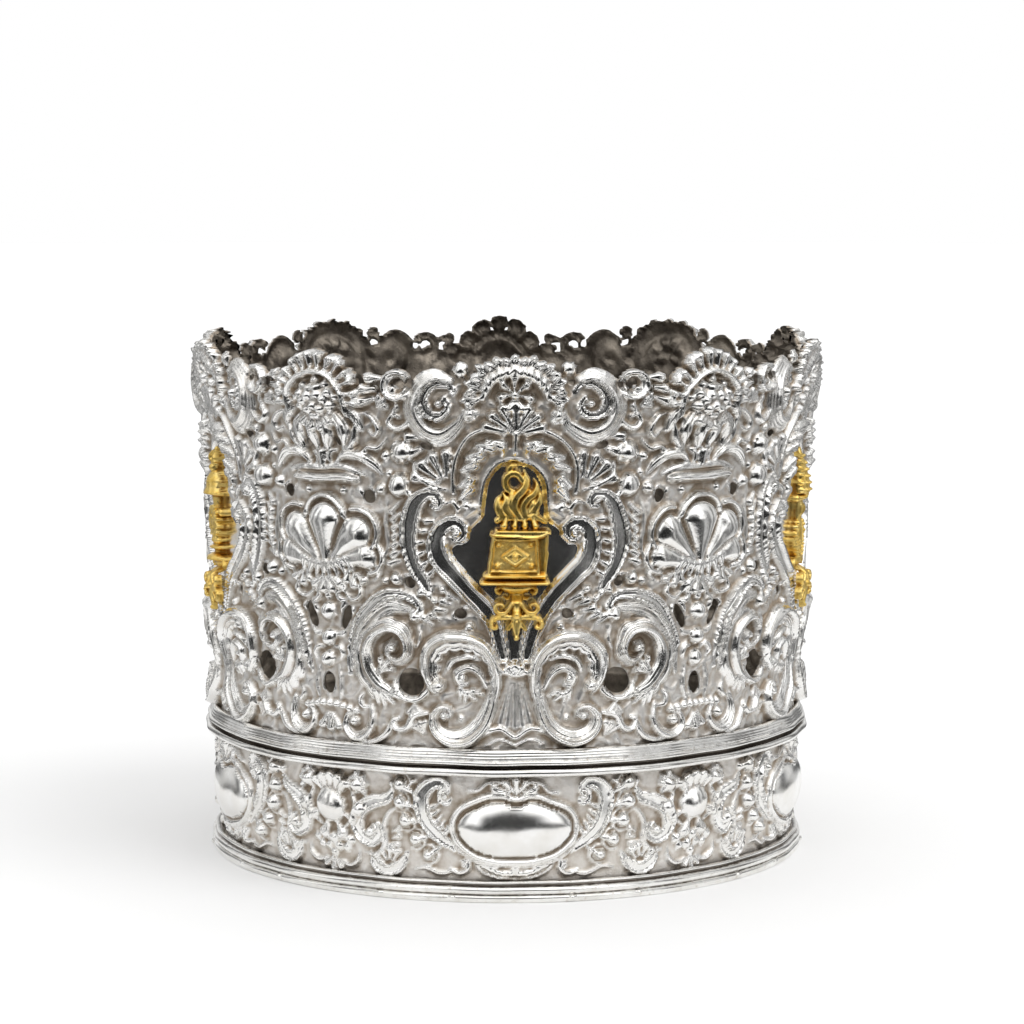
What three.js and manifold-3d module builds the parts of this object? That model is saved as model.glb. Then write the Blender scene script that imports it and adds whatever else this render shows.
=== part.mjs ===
// A silver Torah crown with five gilt emblems, in millimetres, +Z up.
// Two bands of chased sheet silver stand one on the other. A ribbed moulding runs round the foot, and another
// covers the joint. The upper band is pierced, ends in a crest of scrolls and flowers, and has five bays: in the
// middle of each is a pear-shaped cartouche with a gilt emblem, and between two bays a flower stands over a shell.
// The relief is laid out flat, u along the wall and z up it, and then bent round the crown.
import * as THREE from "three";
import { mergeVertices } from "three/addons/utils/BufferGeometryUtils.js";
import Module from "manifold-3d";

const wasm = await Module();
wasm.setup();

// ---- Driving dimensions ----
const BAYS = 5;
const LAYOUT_RADIUS = 96; // the radius at which u is measured
const BAY = (2 * Math.PI * LAYOUT_RADIUS) / BAYS;
const SHEET = 1.2; // wall of the chased sheet
const COLUMNS = 10 * BAYS; // flats round the wall, one of them square to the middle of each bay
const GAP = 0.3; // between pieces that meet
const SINK = 0.7; // how far carving is rooted in the wall
const WELD = 1e-4; // corners closer than this are one

const FOOT_HEIGHT = 6.4;
const FOOT_LEDGE = 1.2;
const JOINT_LOW = 38.7;
const JOINT_HIGH = 46.9;
const JOINT = (JOINT_LOW + JOINT_HIGH) / 2;
const WAIST = 97; // where the upper band's slope changes
const CREST = 163.4; // top of the sheet at a flower
const CREST_DIP = 6; // and how far it drops between flowers

// Outer radius of the plain wall against height.
const WALL = [
  [0, 92.2],
  [JOINT, 93.6],
  [WAIST, 94.8],
  [166, 96.8],
];

const SILVER = new THREE.MeshStandardMaterial({ color: 0xd9d5cc, metalness: 1, roughness: 0.22 });
const SILVER_PLAIN = new THREE.MeshStandardMaterial({ color: 0xdedbd4, metalness: 1, roughness: 0.16 });
const GILT = new THREE.MeshStandardMaterial({ color: 0xd9a42e, metalness: 1, roughness: 0.24 });

function wallRadius(z) {
  const last = WALL.length - 1;
  if (z <= WALL[0][0]) return WALL[0][1];
  if (z >= WALL[last][0]) return WALL[last][1];
  const i = WALL.findIndex(([height]) => height >= z);
  const [z0, r0] = WALL[i - 1];
  const [z1, r1] = WALL[i];
  return r0 + ((r1 - r0) * (z - z0)) / (z1 - z0);
}

// ---- Solids ----
function geometryOf(positions, index) {
  const geometry = new THREE.BufferGeometry();
  geometry.setAttribute("position", new THREE.Float32BufferAttribute(positions, 3));
  geometry.setIndex(index);
  return geometry;
}

function solid(geometry) {
  const bare = geometry.clone();
  bare.deleteAttribute("normal");
  bare.deleteAttribute("uv");
  const merged = mergeVertices(bare, WELD);
  return new wasm.Manifold(
    new wasm.Mesh({
      numProp: 3,
      vertProperties: merged.attributes.position.array,
      triVerts: new Uint32Array(merged.index.array),
    }),
  );
}

function geometryFrom(manifold) {
  const mesh = manifold.getMesh();
  return geometryOf(Array.from(mesh.vertProperties), Array.from(mesh.triVerts));
}

const join = (solids) => solids.reduce((sum, next) => sum.add(next));

// Bends flat work (x is u, y is height, z stands off the wall) round the crown, in a bay.
function bend(geometry, bay) {
  const p = geometry.attributes.position;
  for (let i = 0; i < p.count; i++) {
    const angle = (p.getX(i) + bay * BAY) / LAYOUT_RADIUS;
    const height = p.getY(i);
    const r = wallRadius(height) + p.getZ(i);
    p.setXYZ(i, r * Math.sin(angle), -r * Math.cos(angle), height);
  }
  return geometry;
}

// A roof-shaped ridge along flat points, [u, z]: at each point a left foot, a crest and a right foot.
function ridgeRows(points, shareAt, width, height, closed) {
  const line = points.map(([u, z]) => new THREE.Vector2(u, z));
  const count = line.length;
  const near = (i) => line[closed ? (i + count) % count : Math.min(Math.max(i, 0), count - 1)];
  return line.flatMap((at, i) => {
    const along = near(i + 1).clone().sub(near(i - 1)).normalize();
    const share = shareAt(i);
    const across = new THREE.Vector2(-along.y, along.x).multiplyScalar((width * share) / 2);
    return [
      [at.x + across.x, at.y + across.y, -SINK],
      [at.x, at.y, height * share],
      [at.x - across.x, at.y - across.y, -SINK],
    ].flat();
  });
}

function ridgeSides(index, from, to) {
  for (let side = 0; side < 3; side++) {
    const next = (side + 1) % 3;
    const [a, b, c, d] = [3 * from + side, 3 * to + side, 3 * from + next, 3 * to + next];
    index.push(a, c, b, b, c, d);
  }
}

// A raised scroll, thickest in the middle of its run and tapering towards a share of that at its ends.
const SCROLL_TIP = 0.5;

function ridge(points, width, height) {
  const count = points.length;
  const share = (i) => SCROLL_TIP + (1 - SCROLL_TIP) * Math.sin((Math.PI * (i + 0.5)) / count);
  const end = 3 * count - 3;
  const index = [0, 2, 1, end, end + 1, end + 2];
  for (let i = 0; i + 1 < count; i++) ridgeSides(index, i, i + 1);
  return geometryOf(ridgeRows(points, share, width, height, false), index);
}

// A raised frame that closes on itself.
function ring(points, width, height) {
  const count = points.length;
  const index = [];
  for (let i = 0; i < count; i++) ridgeSides(index, i, (i + 1) % count);
  return geometryOf(ridgeRows(points, () => 1, width, height, true), index);
}

// A boss: a dome standing off the wall, rooted in it to a given depth. Its rings lie at shares of its rise.
const BOSS_RINGS = [0, 0.62];

function boss(u, z, halfWidth, halfHeight, rise, sides, depth) {
  const positions = [];
  for (const level of BOSS_RINGS) {
    const spread = Math.sqrt(1 - level * level);
    for (let i = 0; i < sides; i++) {
      const angle = (2 * Math.PI * i) / sides;
      const x = halfWidth * spread * Math.cos(angle);
      const y = halfHeight * spread * Math.sin(angle);
      positions.push(x, y, level ? rise * level : -depth);
    }
  }
  const under = positions.length / 3;
  const top = under + 1;
  positions.push(0, 0, -depth, 0, 0, rise);
  const index = [];
  for (let i = 0; i < sides; i++) {
    const j = (i + 1) % sides;
    index.push(under, j, i);
    for (let level = 0; level + 1 < BOSS_RINGS.length; level++) {
      const [a, b] = [level * sides, (level + 1) * sides];
      index.push(a + i, a + j, b + i, b + i, a + j, b + j);
    }
    const last = (BOSS_RINGS.length - 1) * sides;
    index.push(last + i, last + j, top);
  }
  return geometryOf(positions, index).translate(u, z, 0);
}

const raised = (form) => boss(...form);

const mirrored = (points) => points.map(([u, z]) => [-u, z]);

// A hole through the wall of a bay: an upright oval.
const PIERCING_DEPTH = 12;
const PIERCING_SIDES = 8;

function piercing(u, z, halfWidth, halfHeight, bay) {
  const flat = new THREE.CylinderGeometry(1, 1, PIERCING_DEPTH, PIERCING_SIDES)
    .rotateX(Math.PI / 2)
    .scale(halfWidth, halfHeight, 1)
    .translate(u, z, 0);
  return solid(bend(flat, bay));
}

// ---- The wall of a band ----
// A closed ring of sheet: rows of heights at each column, outside going up and inside coming down.
function sheetRing(columns, heightsAt) {
  const positions = [];
  let rows = 0;
  for (let c = 0; c < columns; c++) {
    const angle = (2 * Math.PI * (c + 0.5)) / columns;
    const heights = heightsAt(angle);
    rows = heights.length;
    const loop = [
      ...heights.map((z) => [wallRadius(z), z]),
      ...heights.map((z) => [wallRadius(z) - SHEET, z]).reverse(),
    ];
    loop.forEach(([r, z]) => positions.push(r * Math.sin(angle), -r * Math.cos(angle), z));
  }
  const section = 2 * rows;
  const index = [];
  for (let c = 0; c < columns; c++) {
    const here = section * c;
    const next = section * ((c + 1) % columns);
    for (let i = 0; i < section; i++) {
      const j = (i + 1) % section;
      index.push(here + i, next + i, here + j, here + j, next + i, next + j);
    }
  }
  return solid(geometryOf(positions, index));
}

// ---- Upper band ----
// Half of the pear-shaped frame round a cartouche, from the top of its arch down to its point.
const CARTOUCHE_HALF = [
  [4, 139.6],
  [13.4, 135],
  [15.8, 118],
  [22.8, 112.4],
  [22.2, 102],
  [12, 91],
  [2.8, 77],
];
const CREST_SCROLL = [
  [22, 157],
  [29.4, 152],
  [18, 143],
];
const LEAF_SCROLL = [
  [22.4, 65],
  [25.4, 76],
  [13, 79.6],
  [9.4, 58],
  [20.6, 51.4],
];
const ACANTHUS_SCROLL = [
  [36, 77.4],
  [43, 83.6],
  [49.4, 73],
  [42, 62.4],
];
const COLUMN = BAY / 2;
const FRAME_WIDTH = 4.6;
const FRAME_RISE = 2.4;

// Each scroll: its line, its width and its height.
const UPPER_SCROLLS = [
  [CREST_SCROLL, 5.6, 4],
  [LEAF_SCROLL, 6.4, 5.4],
  [ACANTHUS_SCROLL, 6.8, 5],
];

// Large bosses: u, z, half width, half height, rise, sides, depth of the root.
const FLOWER = [COLUMN, 155, 11.4, 10.8, 5.6, 8, 0.9];
const FLOWER_CUP = [COLUMN, 140, 10, 6, 3.8, 6, 0.6];
const PALMETTE = [0, 154.6, 10.6, 10.4, 4.8, 8, 0.8];
const SHELL = [COLUMN, 112.4, 14.6, 10.6, 4.4, 8, 0.7];

// Openings: a round one beside each acanthus scroll, and an upright one at the foot of the column.
const PIERCINGS = [
  [COLUMN, 64, 2.3, 4.3],
  [-32.6, 67, 4.3, 4.3],
  [32.6, 67, 4.3, 4.3],
];

function addScrolls(solids, bay, scrolls) {
  for (const [points, width, height] of scrolls) {
    solids.push(solid(bend(ridge(points, width, height), bay)));
    solids.push(solid(bend(ridge(mirrored(points).reverse(), width, height), bay)));
  }
}

function bayRelief(bay) {
  const frame = [...CARTOUCHE_HALF, ...mirrored(CARTOUCHE_HALF).reverse()];
  const solids = [FLOWER, FLOWER_CUP, PALMETTE, SHELL].map((form) => solid(bend(raised(form), bay)));
  solids.push(solid(bend(ring(frame, FRAME_WIDTH, FRAME_RISE), bay)));
  addScrolls(solids, bay, UPPER_SCROLLS);
  return solids;
}

const bayPiercings = (bay) => PIERCINGS.map((hole) => piercing(...hole, bay));

// Top of the sheet: high behind the flowers and the palmettes, with a dip beside each.
function crestHeight(angle) {
  const wave = Math.cos(2 * BAYS * angle);
  return CREST - (CREST_DIP * (1 - wave)) / 2;
}

function upperBand() {
  const foot = JOINT + GAP / 2;
  const wall = sheetRing(COLUMNS, (angle) => [foot, WAIST, crestHeight(angle)]);
  const bays = [...Array(BAYS).keys()];
  const carved = join([wall, ...bays.flatMap(bayRelief)]);
  return bays.flatMap(bayPiercings).reduce((sum, cut) => sum.subtract(cut), carved);
}

// ---- Lower band: an oval mirror in each bay, a pair of scrolls each side, and a fruit at the bay's edge ----
const OVAL = [0, 22, 18, 9.4, 5.6, 12, 0.7];
const FRUIT = [COLUMN, 26, 6.4, 6.6, 4.4, 8, 0.7];
const OVAL_SCROLL = [
  [21.4, 33],
  [27, 32],
  [26.6, 22],
  [16, 12.4],
];
const SIDE_SCROLL = [
  [42.6, 28],
  [49.4, 22],
  [42, 15.6],
];
const LOWER_SCROLLS = [
  [OVAL_SCROLL, 3.8, 2.8],
  [SIDE_SCROLL, 3.6, 2.6],
];

function lowerBay(bay) {
  const solids = [OVAL, FRUIT].map((form) => solid(bend(raised(form), bay)));
  addScrolls(solids, bay, LOWER_SCROLLS);
  return solids;
}

// The sheet is raised from behind, so a mirror is hollow, open right through the wall behind it.
const HOLLOW_DEPTH = 3.6;

function mirrorHollow(bay) {
  const [u, z, halfWidth, halfHeight, rise, sides] = OVAL;
  const inner = boss(u, z, halfWidth - SHEET, halfHeight - SHEET, rise - SHEET, sides, HOLLOW_DEPTH);
  return solid(bend(inner, bay));
}

function lowerBand() {
  const heights = [FOOT_LEDGE + GAP, JOINT - GAP / 2];
  const wall = sheetRing(COLUMNS, () => heights);
  const bays = [...Array(BAYS).keys()];
  const carved = join([wall, ...bays.flatMap(lowerBay)]);
  return bays.map(mirrorHollow).reduce((sum, hollow) => sum.subtract(hollow), carved);
}

// ---- Mouldings: turned profiles, [radius, height], that go round the crown outside the sheet ----
const RING_STEPS = 45;
const MOULDING_GAP = 0.45; // from the sheet to a moulding's corners, whose flats come in by half of this

function turned(profile) {
  const closed = [...profile, profile[0]].map(([r, z]) => new THREE.Vector2(r, z));
  return new THREE.LatheGeometry(closed, RING_STEPS).rotateX(Math.PI / 2);
}

function footMoulding() {
  const back = wallRadius(FOOT_HEIGHT) + MOULDING_GAP;
  return turned([
    [91.2, 0],
    [96.6, 0],
    [95.8, 2.8],
    [96.2, 5],
    [94.8, FOOT_HEIGHT],
    [back, FOOT_HEIGHT],
    [back, FOOT_LEDGE],
    [91.2, FOOT_LEDGE],
  ]);
}

function jointMoulding() {
  const back = wallRadius(JOINT_HIGH) + MOULDING_GAP;
  return turned([
    [back, JOINT_LOW],
    [97.4, JOINT_LOW],
    [98.8, 40.6],
    [97.2, 42.2],
    [98.2, 43.8],
    [96.2, JOINT_HIGH],
    [back, JOINT_HIGH],
  ]);
}

// ---- Emblems: flat castings, x across, y up, z forward, standing on the cartouche ----
const EMBLEM_LOW = 80;
const EMBLEM_HIGH = 134;
const EMBLEM_LEAN = Math.atan2(
  wallRadius(EMBLEM_HIGH) - wallRadius(EMBLEM_LOW),
  EMBLEM_HIGH - EMBLEM_LOW,
);
const OVER_FRAME = 2.8; // the bracket passes in front of the cartouche's frame
const BACK = 0.2; // clear of the wall, which is flat here

// A plate cut to an outline of [x, y] points, from one depth to another.
function plate(points, from, to) {
  const shape = new THREE.Shape(points.map(([x, y]) => new THREE.Vector2(x, y)));
  const settings = { depth: to - from, bevelEnabled: false };
  return solid(new THREE.ExtrudeGeometry(shape, settings).translate(0, 0, from));
}

// A symmetric plate from the right half of its outline, bottom to top. A point on the axis isn't repeated.
function evenPlate(half, from, to) {
  const left = mirrored(half.filter(([x]) => x > 0)).reverse();
  return plate([...half, ...left], from, to);
}

function block(width, low, high, from, to, x = 0) {
  const box = new THREE.BoxGeometry(width, high - low, to - from);
  return solid(box.translate(x, (low + high) / 2, (from + to) / 2));
}

// Half of a turned body against the plate: [radius, height] points with both ends on the axis.
const HOLD = 30; // a block this much larger than an emblem keeps the half in front of the plate

function turnedBody(profile, sides) {
  const points = profile.map(([r, z]) => new THREE.Vector2(r, z));
  const whole = solid(new THREE.LatheGeometry(points, sides));
  return whole.intersect(block(2 * HOLD, EMBLEM_LOW - HOLD, EMBLEM_HIGH + HOLD, BACK, HOLD));
}

// The bracket under every emblem: a waisted stem, two pairs of curled arms and a pendant leaf.
const BRACKET_HALF = [
  [0, 79.6],
  [2.6, 84],
  [6.6, 82.6],
  [8.4, 85],
  [6.4, 87.4],
  [3.4, 87.6],
  [6.4, 90.6],
  [5.6, 92.6],
  [2.2, 90.4],
  [1.8, 93.6],
  [4.8, 95.4],
  [4.2, 97],
];
const BRACKET_THICKNESS = 1.4;

function bracket() {
  const leaf = evenPlate(BRACKET_HALF, OVER_FRAME, OVER_FRAME + BRACKET_THICKNESS);
  return join([leaf, block(3, 93, 97, BACK, OVER_FRAME + 2)]);
}

function altar() {
  const body = evenPlate([[9, 100.4], [8.2, 111.4]], BACK, 6);
  const steps = [
    block(21, 96.6, 98.4, BACK, 7.4),
    block(19.4, 98.3, 100.5, BACK, 6.6),
    block(18.4, 111.3, 113.2, BACK, 6.8),
  ];
  const panel = plate([[0, 103], [3.4, 106], [0, 109], [-3.4, 106]], 5.5, 6.6);
  const coals = evenPlate([[6.4, 113], [6, 116.2]], BACK, 4.6);
  const right = [[5.4, 115.6], [7.4, 121], [6, 127.4], [4, 122.6], [3.6, 129]];
  const left = [[-1, 133.4], [-3.4, 127], [-5.4, 121.4], [-4.8, 115.6]];
  const flame = plate([...right, ...left], 1.6, 4.2);
  return join([bracket(), body, ...steps, panel, coals, flame]);
}

function censer() {
  const body = turnedBody([
    [0, 96.8],
    [4.2, 96.8],
    [2.4, 99],
    [4.4, 101],
    [2, 107.6],
    [2.4, 112],
    [5.6, 113.6],
    [4.4, 119],
    [4.8, 122],
    [2, 126],
    [2.4, 128],
    [0, 133],
  ], 6);
  const wreath = solid(new THREE.TorusGeometry(3.8, 1.1, 4, 10).translate(0, 104.6, 3.4));
  return join([bracket(), body, wreath]);
}

function mitre() {
  const cap = turnedBody([[0, 116], [5.8, 116], [4.8, 122], [1, 131], [0, 131.4]], 8);
  const robe = evenPlate([[3.6, 96.8], [6.4, 104], [4.4, 114.6]], BACK, 3.4);
  const bar = block(15, 114, 116.2, BACK, 5.4);
  const gem = block(5.6, 105.6, 112, 3.2, 4.4);
  return join([bracket(), robe, bar, cap, gem]);
}

function tablets() {
  const solids = [bracket(), block(19, 96.8, 99.6, BACK, 4.6)];
  for (const side of [-1, 1]) {
    const round = solid(new THREE.CylinderGeometry(4.2, 4.2, 2.6, 10).rotateX(Math.PI / 2));
    solids.push(block(8.4, 99.4, 117, BACK, 3.4, side * 4.4));
    solids.push(round.translate([side * 4.4, 117, BACK + 1.3]));
  }
  const coronet = evenPlate([[4, 121], [6, 127.6], [3, 125], [1.4, 129]], BACK, 3);
  return join([...solids, coronet]);
}

function lamp() {
  const profile = [[0, 96.8], [5.6, 96.8], [2.4, 100.4], [2.2, 122], [3, 124.6], [0, 130]];
  const solids = [bracket(), turnedBody(profile, 6), block(20.4, 121.6, 123.4, BACK, 3.2)];
  for (const reach of [3.1, 6.2, 9.3]) {
    const hoop = new THREE.TorusGeometry(reach, 0.8, 4, 12).scale(1, 1.25, 1).translate(0, 122, 2);
    solids.push(solid(hoop).intersect(block(30, 100, 122, 0, 6)));
  }
  return join(solids);
}

// ---- The crown ----
const crown = new THREE.Group();

function addMesh(parent, name, geometry, material) {
  const mesh = new THREE.Mesh(geometry, material);
  mesh.name = name;
  parent.add(mesh);
  return mesh;
}

addMesh(crown, "foot_moulding", footMoulding(), SILVER_PLAIN);
addMesh(crown, "lower_band", geometryFrom(lowerBand()), SILVER);
addMesh(crown, "joint_moulding", jointMoulding(), SILVER_PLAIN);
addMesh(crown, "upper_band", geometryFrom(upperBand()), SILVER);

const EMBLEMS = { altar, mitre, tablets, lamp, censer };
Object.entries(EMBLEMS).forEach(([name, make], bay) => {
  const turn = new THREE.Group();
  turn.rotation.z = (2 * Math.PI * bay) / BAYS;
  crown.add(turn);
  const mesh = addMesh(turn, `emblem_${name}`, geometryFrom(make()), GILT);
  mesh.geometry.translate(0, -EMBLEM_LOW, 0);
  mesh.position.set(0, -wallRadius(EMBLEM_LOW), EMBLEM_LOW);
  mesh.rotation.x = Math.PI / 2 + EMBLEM_LEAN;
});

export default crown;
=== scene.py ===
"""A silver crown for a Torah scroll: two chased bands, two mouldings and five gilt emblems, all in one frame.

Lengths are in millimetres until a mesh is made. u runs along the wall from the front to the right, measured
at one radius, z runs up, and the rise stands off the wall."""
import bpy
import numpy as np
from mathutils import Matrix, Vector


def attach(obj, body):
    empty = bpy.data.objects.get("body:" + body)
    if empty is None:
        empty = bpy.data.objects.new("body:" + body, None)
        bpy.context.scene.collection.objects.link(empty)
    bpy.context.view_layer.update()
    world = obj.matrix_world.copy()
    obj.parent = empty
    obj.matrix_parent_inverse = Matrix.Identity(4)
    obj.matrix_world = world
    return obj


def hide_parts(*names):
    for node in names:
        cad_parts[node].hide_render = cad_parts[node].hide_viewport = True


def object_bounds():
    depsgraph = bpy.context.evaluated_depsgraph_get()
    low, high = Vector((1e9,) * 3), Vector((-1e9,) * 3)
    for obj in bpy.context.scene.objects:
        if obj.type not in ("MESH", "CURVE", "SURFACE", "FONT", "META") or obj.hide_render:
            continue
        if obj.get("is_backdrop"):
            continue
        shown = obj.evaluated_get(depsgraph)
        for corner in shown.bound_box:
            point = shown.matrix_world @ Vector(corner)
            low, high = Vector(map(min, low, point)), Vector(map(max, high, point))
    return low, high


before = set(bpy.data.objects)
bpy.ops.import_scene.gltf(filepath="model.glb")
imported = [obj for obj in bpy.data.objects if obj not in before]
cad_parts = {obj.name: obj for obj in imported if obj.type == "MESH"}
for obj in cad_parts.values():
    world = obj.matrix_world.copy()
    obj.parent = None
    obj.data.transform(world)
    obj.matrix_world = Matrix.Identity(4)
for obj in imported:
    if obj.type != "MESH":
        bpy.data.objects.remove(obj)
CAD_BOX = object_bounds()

MM = 0.001
TURN = 2 * np.pi
LAYOUT = 96.0  # the radius at which u is measured
ROUND = TURN * LAYOUT
BAYS = 5
BAY = ROUND / BAYS
RIVET_RADIUS = 1.0
RIVET_HEIGHT = 1.6
RIVET_RISE = 0.75
RIVETS_IN_A_BAY = (-42.0, -19.0, 17.5, 39.0)
RIVETED_DEPTH = 3.0
HOLLOW_REACH = 1.3


def arc(centre, radius, start, end, steps=12):
    """Points of a circle's arc about a centre, its angles in degrees from the first axis to the second."""
    angle = np.radians(np.linspace(start, end, steps))
    return np.array(centre) + radius * np.stack([np.cos(angle), np.sin(angle)], -1)


def wander(u, z, seed, amount, fastest=40):
    """The drift of hand work: ten waves, each with a whole count round the crown and its own slant and
    start."""
    waves, slowest, steepest = 10, 3, 0.3
    chance = np.random.default_rng(seed)
    total = 0.0
    for count in chance.integers(slowest, fastest, waves):
        slant, start = chance.uniform(-steepest, steepest), chance.uniform(0, TURN)
        total = total + np.sin(count * u / LAYOUT + slant * z + start)
    return amount * total / np.sqrt(waves)


def outward(points):
    """The unit normal at each point of a grid of points: its rate along the rows, which close on themselves,
    crossed with its rate up the columns."""
    along = np.roll(points, -1, 1) - np.roll(points, 1, 1)
    up = np.gradient(points, axis=0)
    normal = np.cross(along, up)
    return normal / np.maximum(np.linalg.norm(normal, axis=-1, keepdims=True), 1e-12)


def build(name, points, faces, normals=None, **values):
    """A mesh object from millimetre points and lists of equal-sided faces, with a normal for each corner and
    a number for each point where they are given."""
    loops = np.concatenate([side.ravel() for side in faces])
    sides = np.concatenate([np.full(len(side), side.shape[1]) for side in faces])
    used, loops = np.unique(loops, return_inverse=True)
    mesh = bpy.data.meshes.new(name)
    mesh.vertices.add(len(used))
    mesh.vertices.foreach_set("co", (points.reshape(-1, 3)[used] * MM).astype(np.float32).ravel())
    mesh.loops.add(len(loops))
    mesh.loops.foreach_set("vertex_index", loops.astype(np.int32).ravel())
    mesh.polygons.add(len(sides))
    mesh.polygons.foreach_set("loop_start", (np.cumsum(sides) - sides).astype(np.int32))
    mesh.update(calc_edges=True)
    mesh.shade_smooth()
    for key, value in values.items():
        layer = mesh.attributes.new(key, "FLOAT", "POINT")
        layer.data.foreach_set("value", value.ravel()[used].astype(np.float32))
    if normals is not None:
        layer = mesh.attributes.new("custom_normal", "FLOAT_VECTOR", "CORNER")
        layer.data.foreach_set("vector", np.concatenate(normals).astype(np.float32).ravel())
    piece = bpy.data.objects.new(name, mesh)
    bpy.context.collection.objects.link(piece)
    return piece


def belongs(piece, material, node):
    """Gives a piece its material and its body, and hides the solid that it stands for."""
    piece.data.materials.append(material)
    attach(piece, "root")
    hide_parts(node)


def moulding(name, profile, columns, dent, bumps=()):
    """A closed profile of [radius, z] carried round the axis. Each point moves out and up by a slow drift,
    and near each bump, [u, z, radius], by a low dome, for which extra columns are set close together. Its
    hollow is how far the profile stands out nearby, less its own radius."""
    even = np.arange(columns) * TURN * LAYOUT / columns
    spread = np.linspace(-1.5, 1.5, 9)
    u = np.concatenate([even, *[at + radius * spread for at, _, radius in bumps]])
    u = np.unique(np.round(u % ROUND, 4))
    u, r = np.meshgrid(u, profile[:, 0])
    z = profile[:, 1][:, None] + 0 * u
    top, back = z.max(), r.min()
    # the back and the flat underside stay true, and the drift comes in over 2 outwards and 1 up
    free = np.clip((r - back) / 2, 0, 1) * np.clip(z, 0, 1)
    r = r + free * wander(u, 0 * z, 11, dent)
    rise = 0 * r
    for at, height, radius in bumps:
        du = (u - at + ROUND / 2) % ROUND - ROUND / 2
        far = np.hypot(du, z - height) / radius
        shown = r > r.max() - RIVETED_DEPTH
        rise = np.maximum(rise, RIVET_RISE * radius * np.sqrt(np.maximum(1 - far**2, 0)) * shown)
    z = z + np.clip(z / top, 0, 1) * wander(u, 0 * z, 12, 0.5 * dent, 25)
    angle = u / LAYOUT
    r = r + rise
    points = np.stack([r * np.sin(angle), -r * np.cos(angle), z], -1)
    rows, across = u.shape
    i, j = np.meshgrid(np.arange(rows), np.arange(across), indexing="ij")
    corner = lambda a, b: ((a % rows) * across + b % across).ravel()
    faces = np.stack([corner(i, j), corner(i, j + 1), corner(i + 1, j + 1), corner(i + 1, j)], -1)
    near = np.abs(profile[:, 1][:, None] - profile[:, 1]) < HOLLOW_REACH
    depth = np.where(near, profile[:, 0], 0).max(1) - profile[:, 0]
    return build(name, points, [faces], hollow=depth[:, None] + 0 * u)


FOOT_PROFILE = np.vstack([
    [[91.4, 0.0], [93.2, 0.0], [96.0, 0.0]],
    arc((96.0, 0.45), 0.45, -60, 0, 4),
    [[96.5, 1.0], [96.5, 1.5], [96.3, 2.0], [95.5, 2.15], [95.2, 2.4]],
    arc((95.4, 3.6), 1.15, -75, 65, 11),
    [[94.9, 4.9], [94.7, 5.2], [94.8, 5.5]],
    arc((95.1, 5.9), 0.4, -60, 90, 6),
    [[94.4, 6.35], [93.0, 6.3], [92.8, 6.0], [92.8, 3.5], [92.8, 1.3], [91.4, 1.3], [91.3, 0.7]],
])


class Nodes:
    """A material's node tree, built a node at a time. An input may be a value or another node's output."""

    def __init__(self, name):
        self.material = bpy.data.materials.new(name)
        self.material.use_nodes = True
        self.tree = self.material.node_tree
        self.shader = self.tree.nodes["Principled BSDF"]
        self.place = self.add("ShaderNodeTexCoord").outputs["Object"]

    def add(self, kind, inputs=(), **settings):
        """A new node with its settings and its inputs."""
        node = self.tree.nodes.new(kind)
        for key, value in settings.items():
            setattr(node, key, value)
        for key, value in dict(inputs).items():
            self.set(node.inputs[key], value)
        return node

    def set(self, socket, value):
        """Links an output to a socket, or sets the socket to a value."""
        if isinstance(value, bpy.types.NodeSocket):
            self.tree.links.new(value, socket)
        else:
            socket.default_value = value

    def finish(self, **inputs):
        """Sets the shader's inputs, named with _ for a space, and gives the material."""
        for key, value in inputs.items():
            self.set(self.shader.inputs[key.replace("_", " ")], value)
        return self.material

    def value(self, name):
        """A number that each point of the mesh holds."""
        return self.add("ShaderNodeAttribute", attribute_name=name).outputs["Fac"]

    def noise(self, size, detail=2.0, rough=0.5):
        """Cloudy noise whose lumps are about a size across, in millimetres."""
        inputs = {"Vector": self.place, "Scale": 1 / (size * MM), "Detail": detail, "Roughness": rough}
        return self.add("ShaderNodeTexNoise", inputs).outputs["Fac"]

    def span(self, value, low, high, start=0.0, end=1.0):
        """A value's run from low to high, mapped to a start and an end and held there."""
        inputs = {"Value": value, "From Min": low, "From Max": high, "To Min": start, "To Max": end}
        return self.add("ShaderNodeMapRange", inputs).outputs["Result"]

    def math(self, kind, a, b=0.0):
        """One step of sums on one or two values."""
        node = self.add("ShaderNodeMath", operation=kind)
        self.set(node.inputs[0], a)
        self.set(node.inputs[1], b)
        return node.outputs[0]

    def mix(self, share, a, b):
        """Two colours mixed by a share."""
        node = self.add("ShaderNodeMix", data_type="RGBA")
        self.set(node.inputs[0], share)
        self.set(node.inputs[6], a)
        self.set(node.inputs[7], b)
        return node.outputs[2]

    def bump(self, height, strength, distance, under=None):
        """A bump of a height map, its full height given in millimetres, over another bump."""
        inputs = {"Height": height, "Strength": strength, "Distance": distance * MM}
        if under is not None:
            inputs["Normal"] = under
        return self.add("ShaderNodeBump", inputs).outputs["Normal"]


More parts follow.
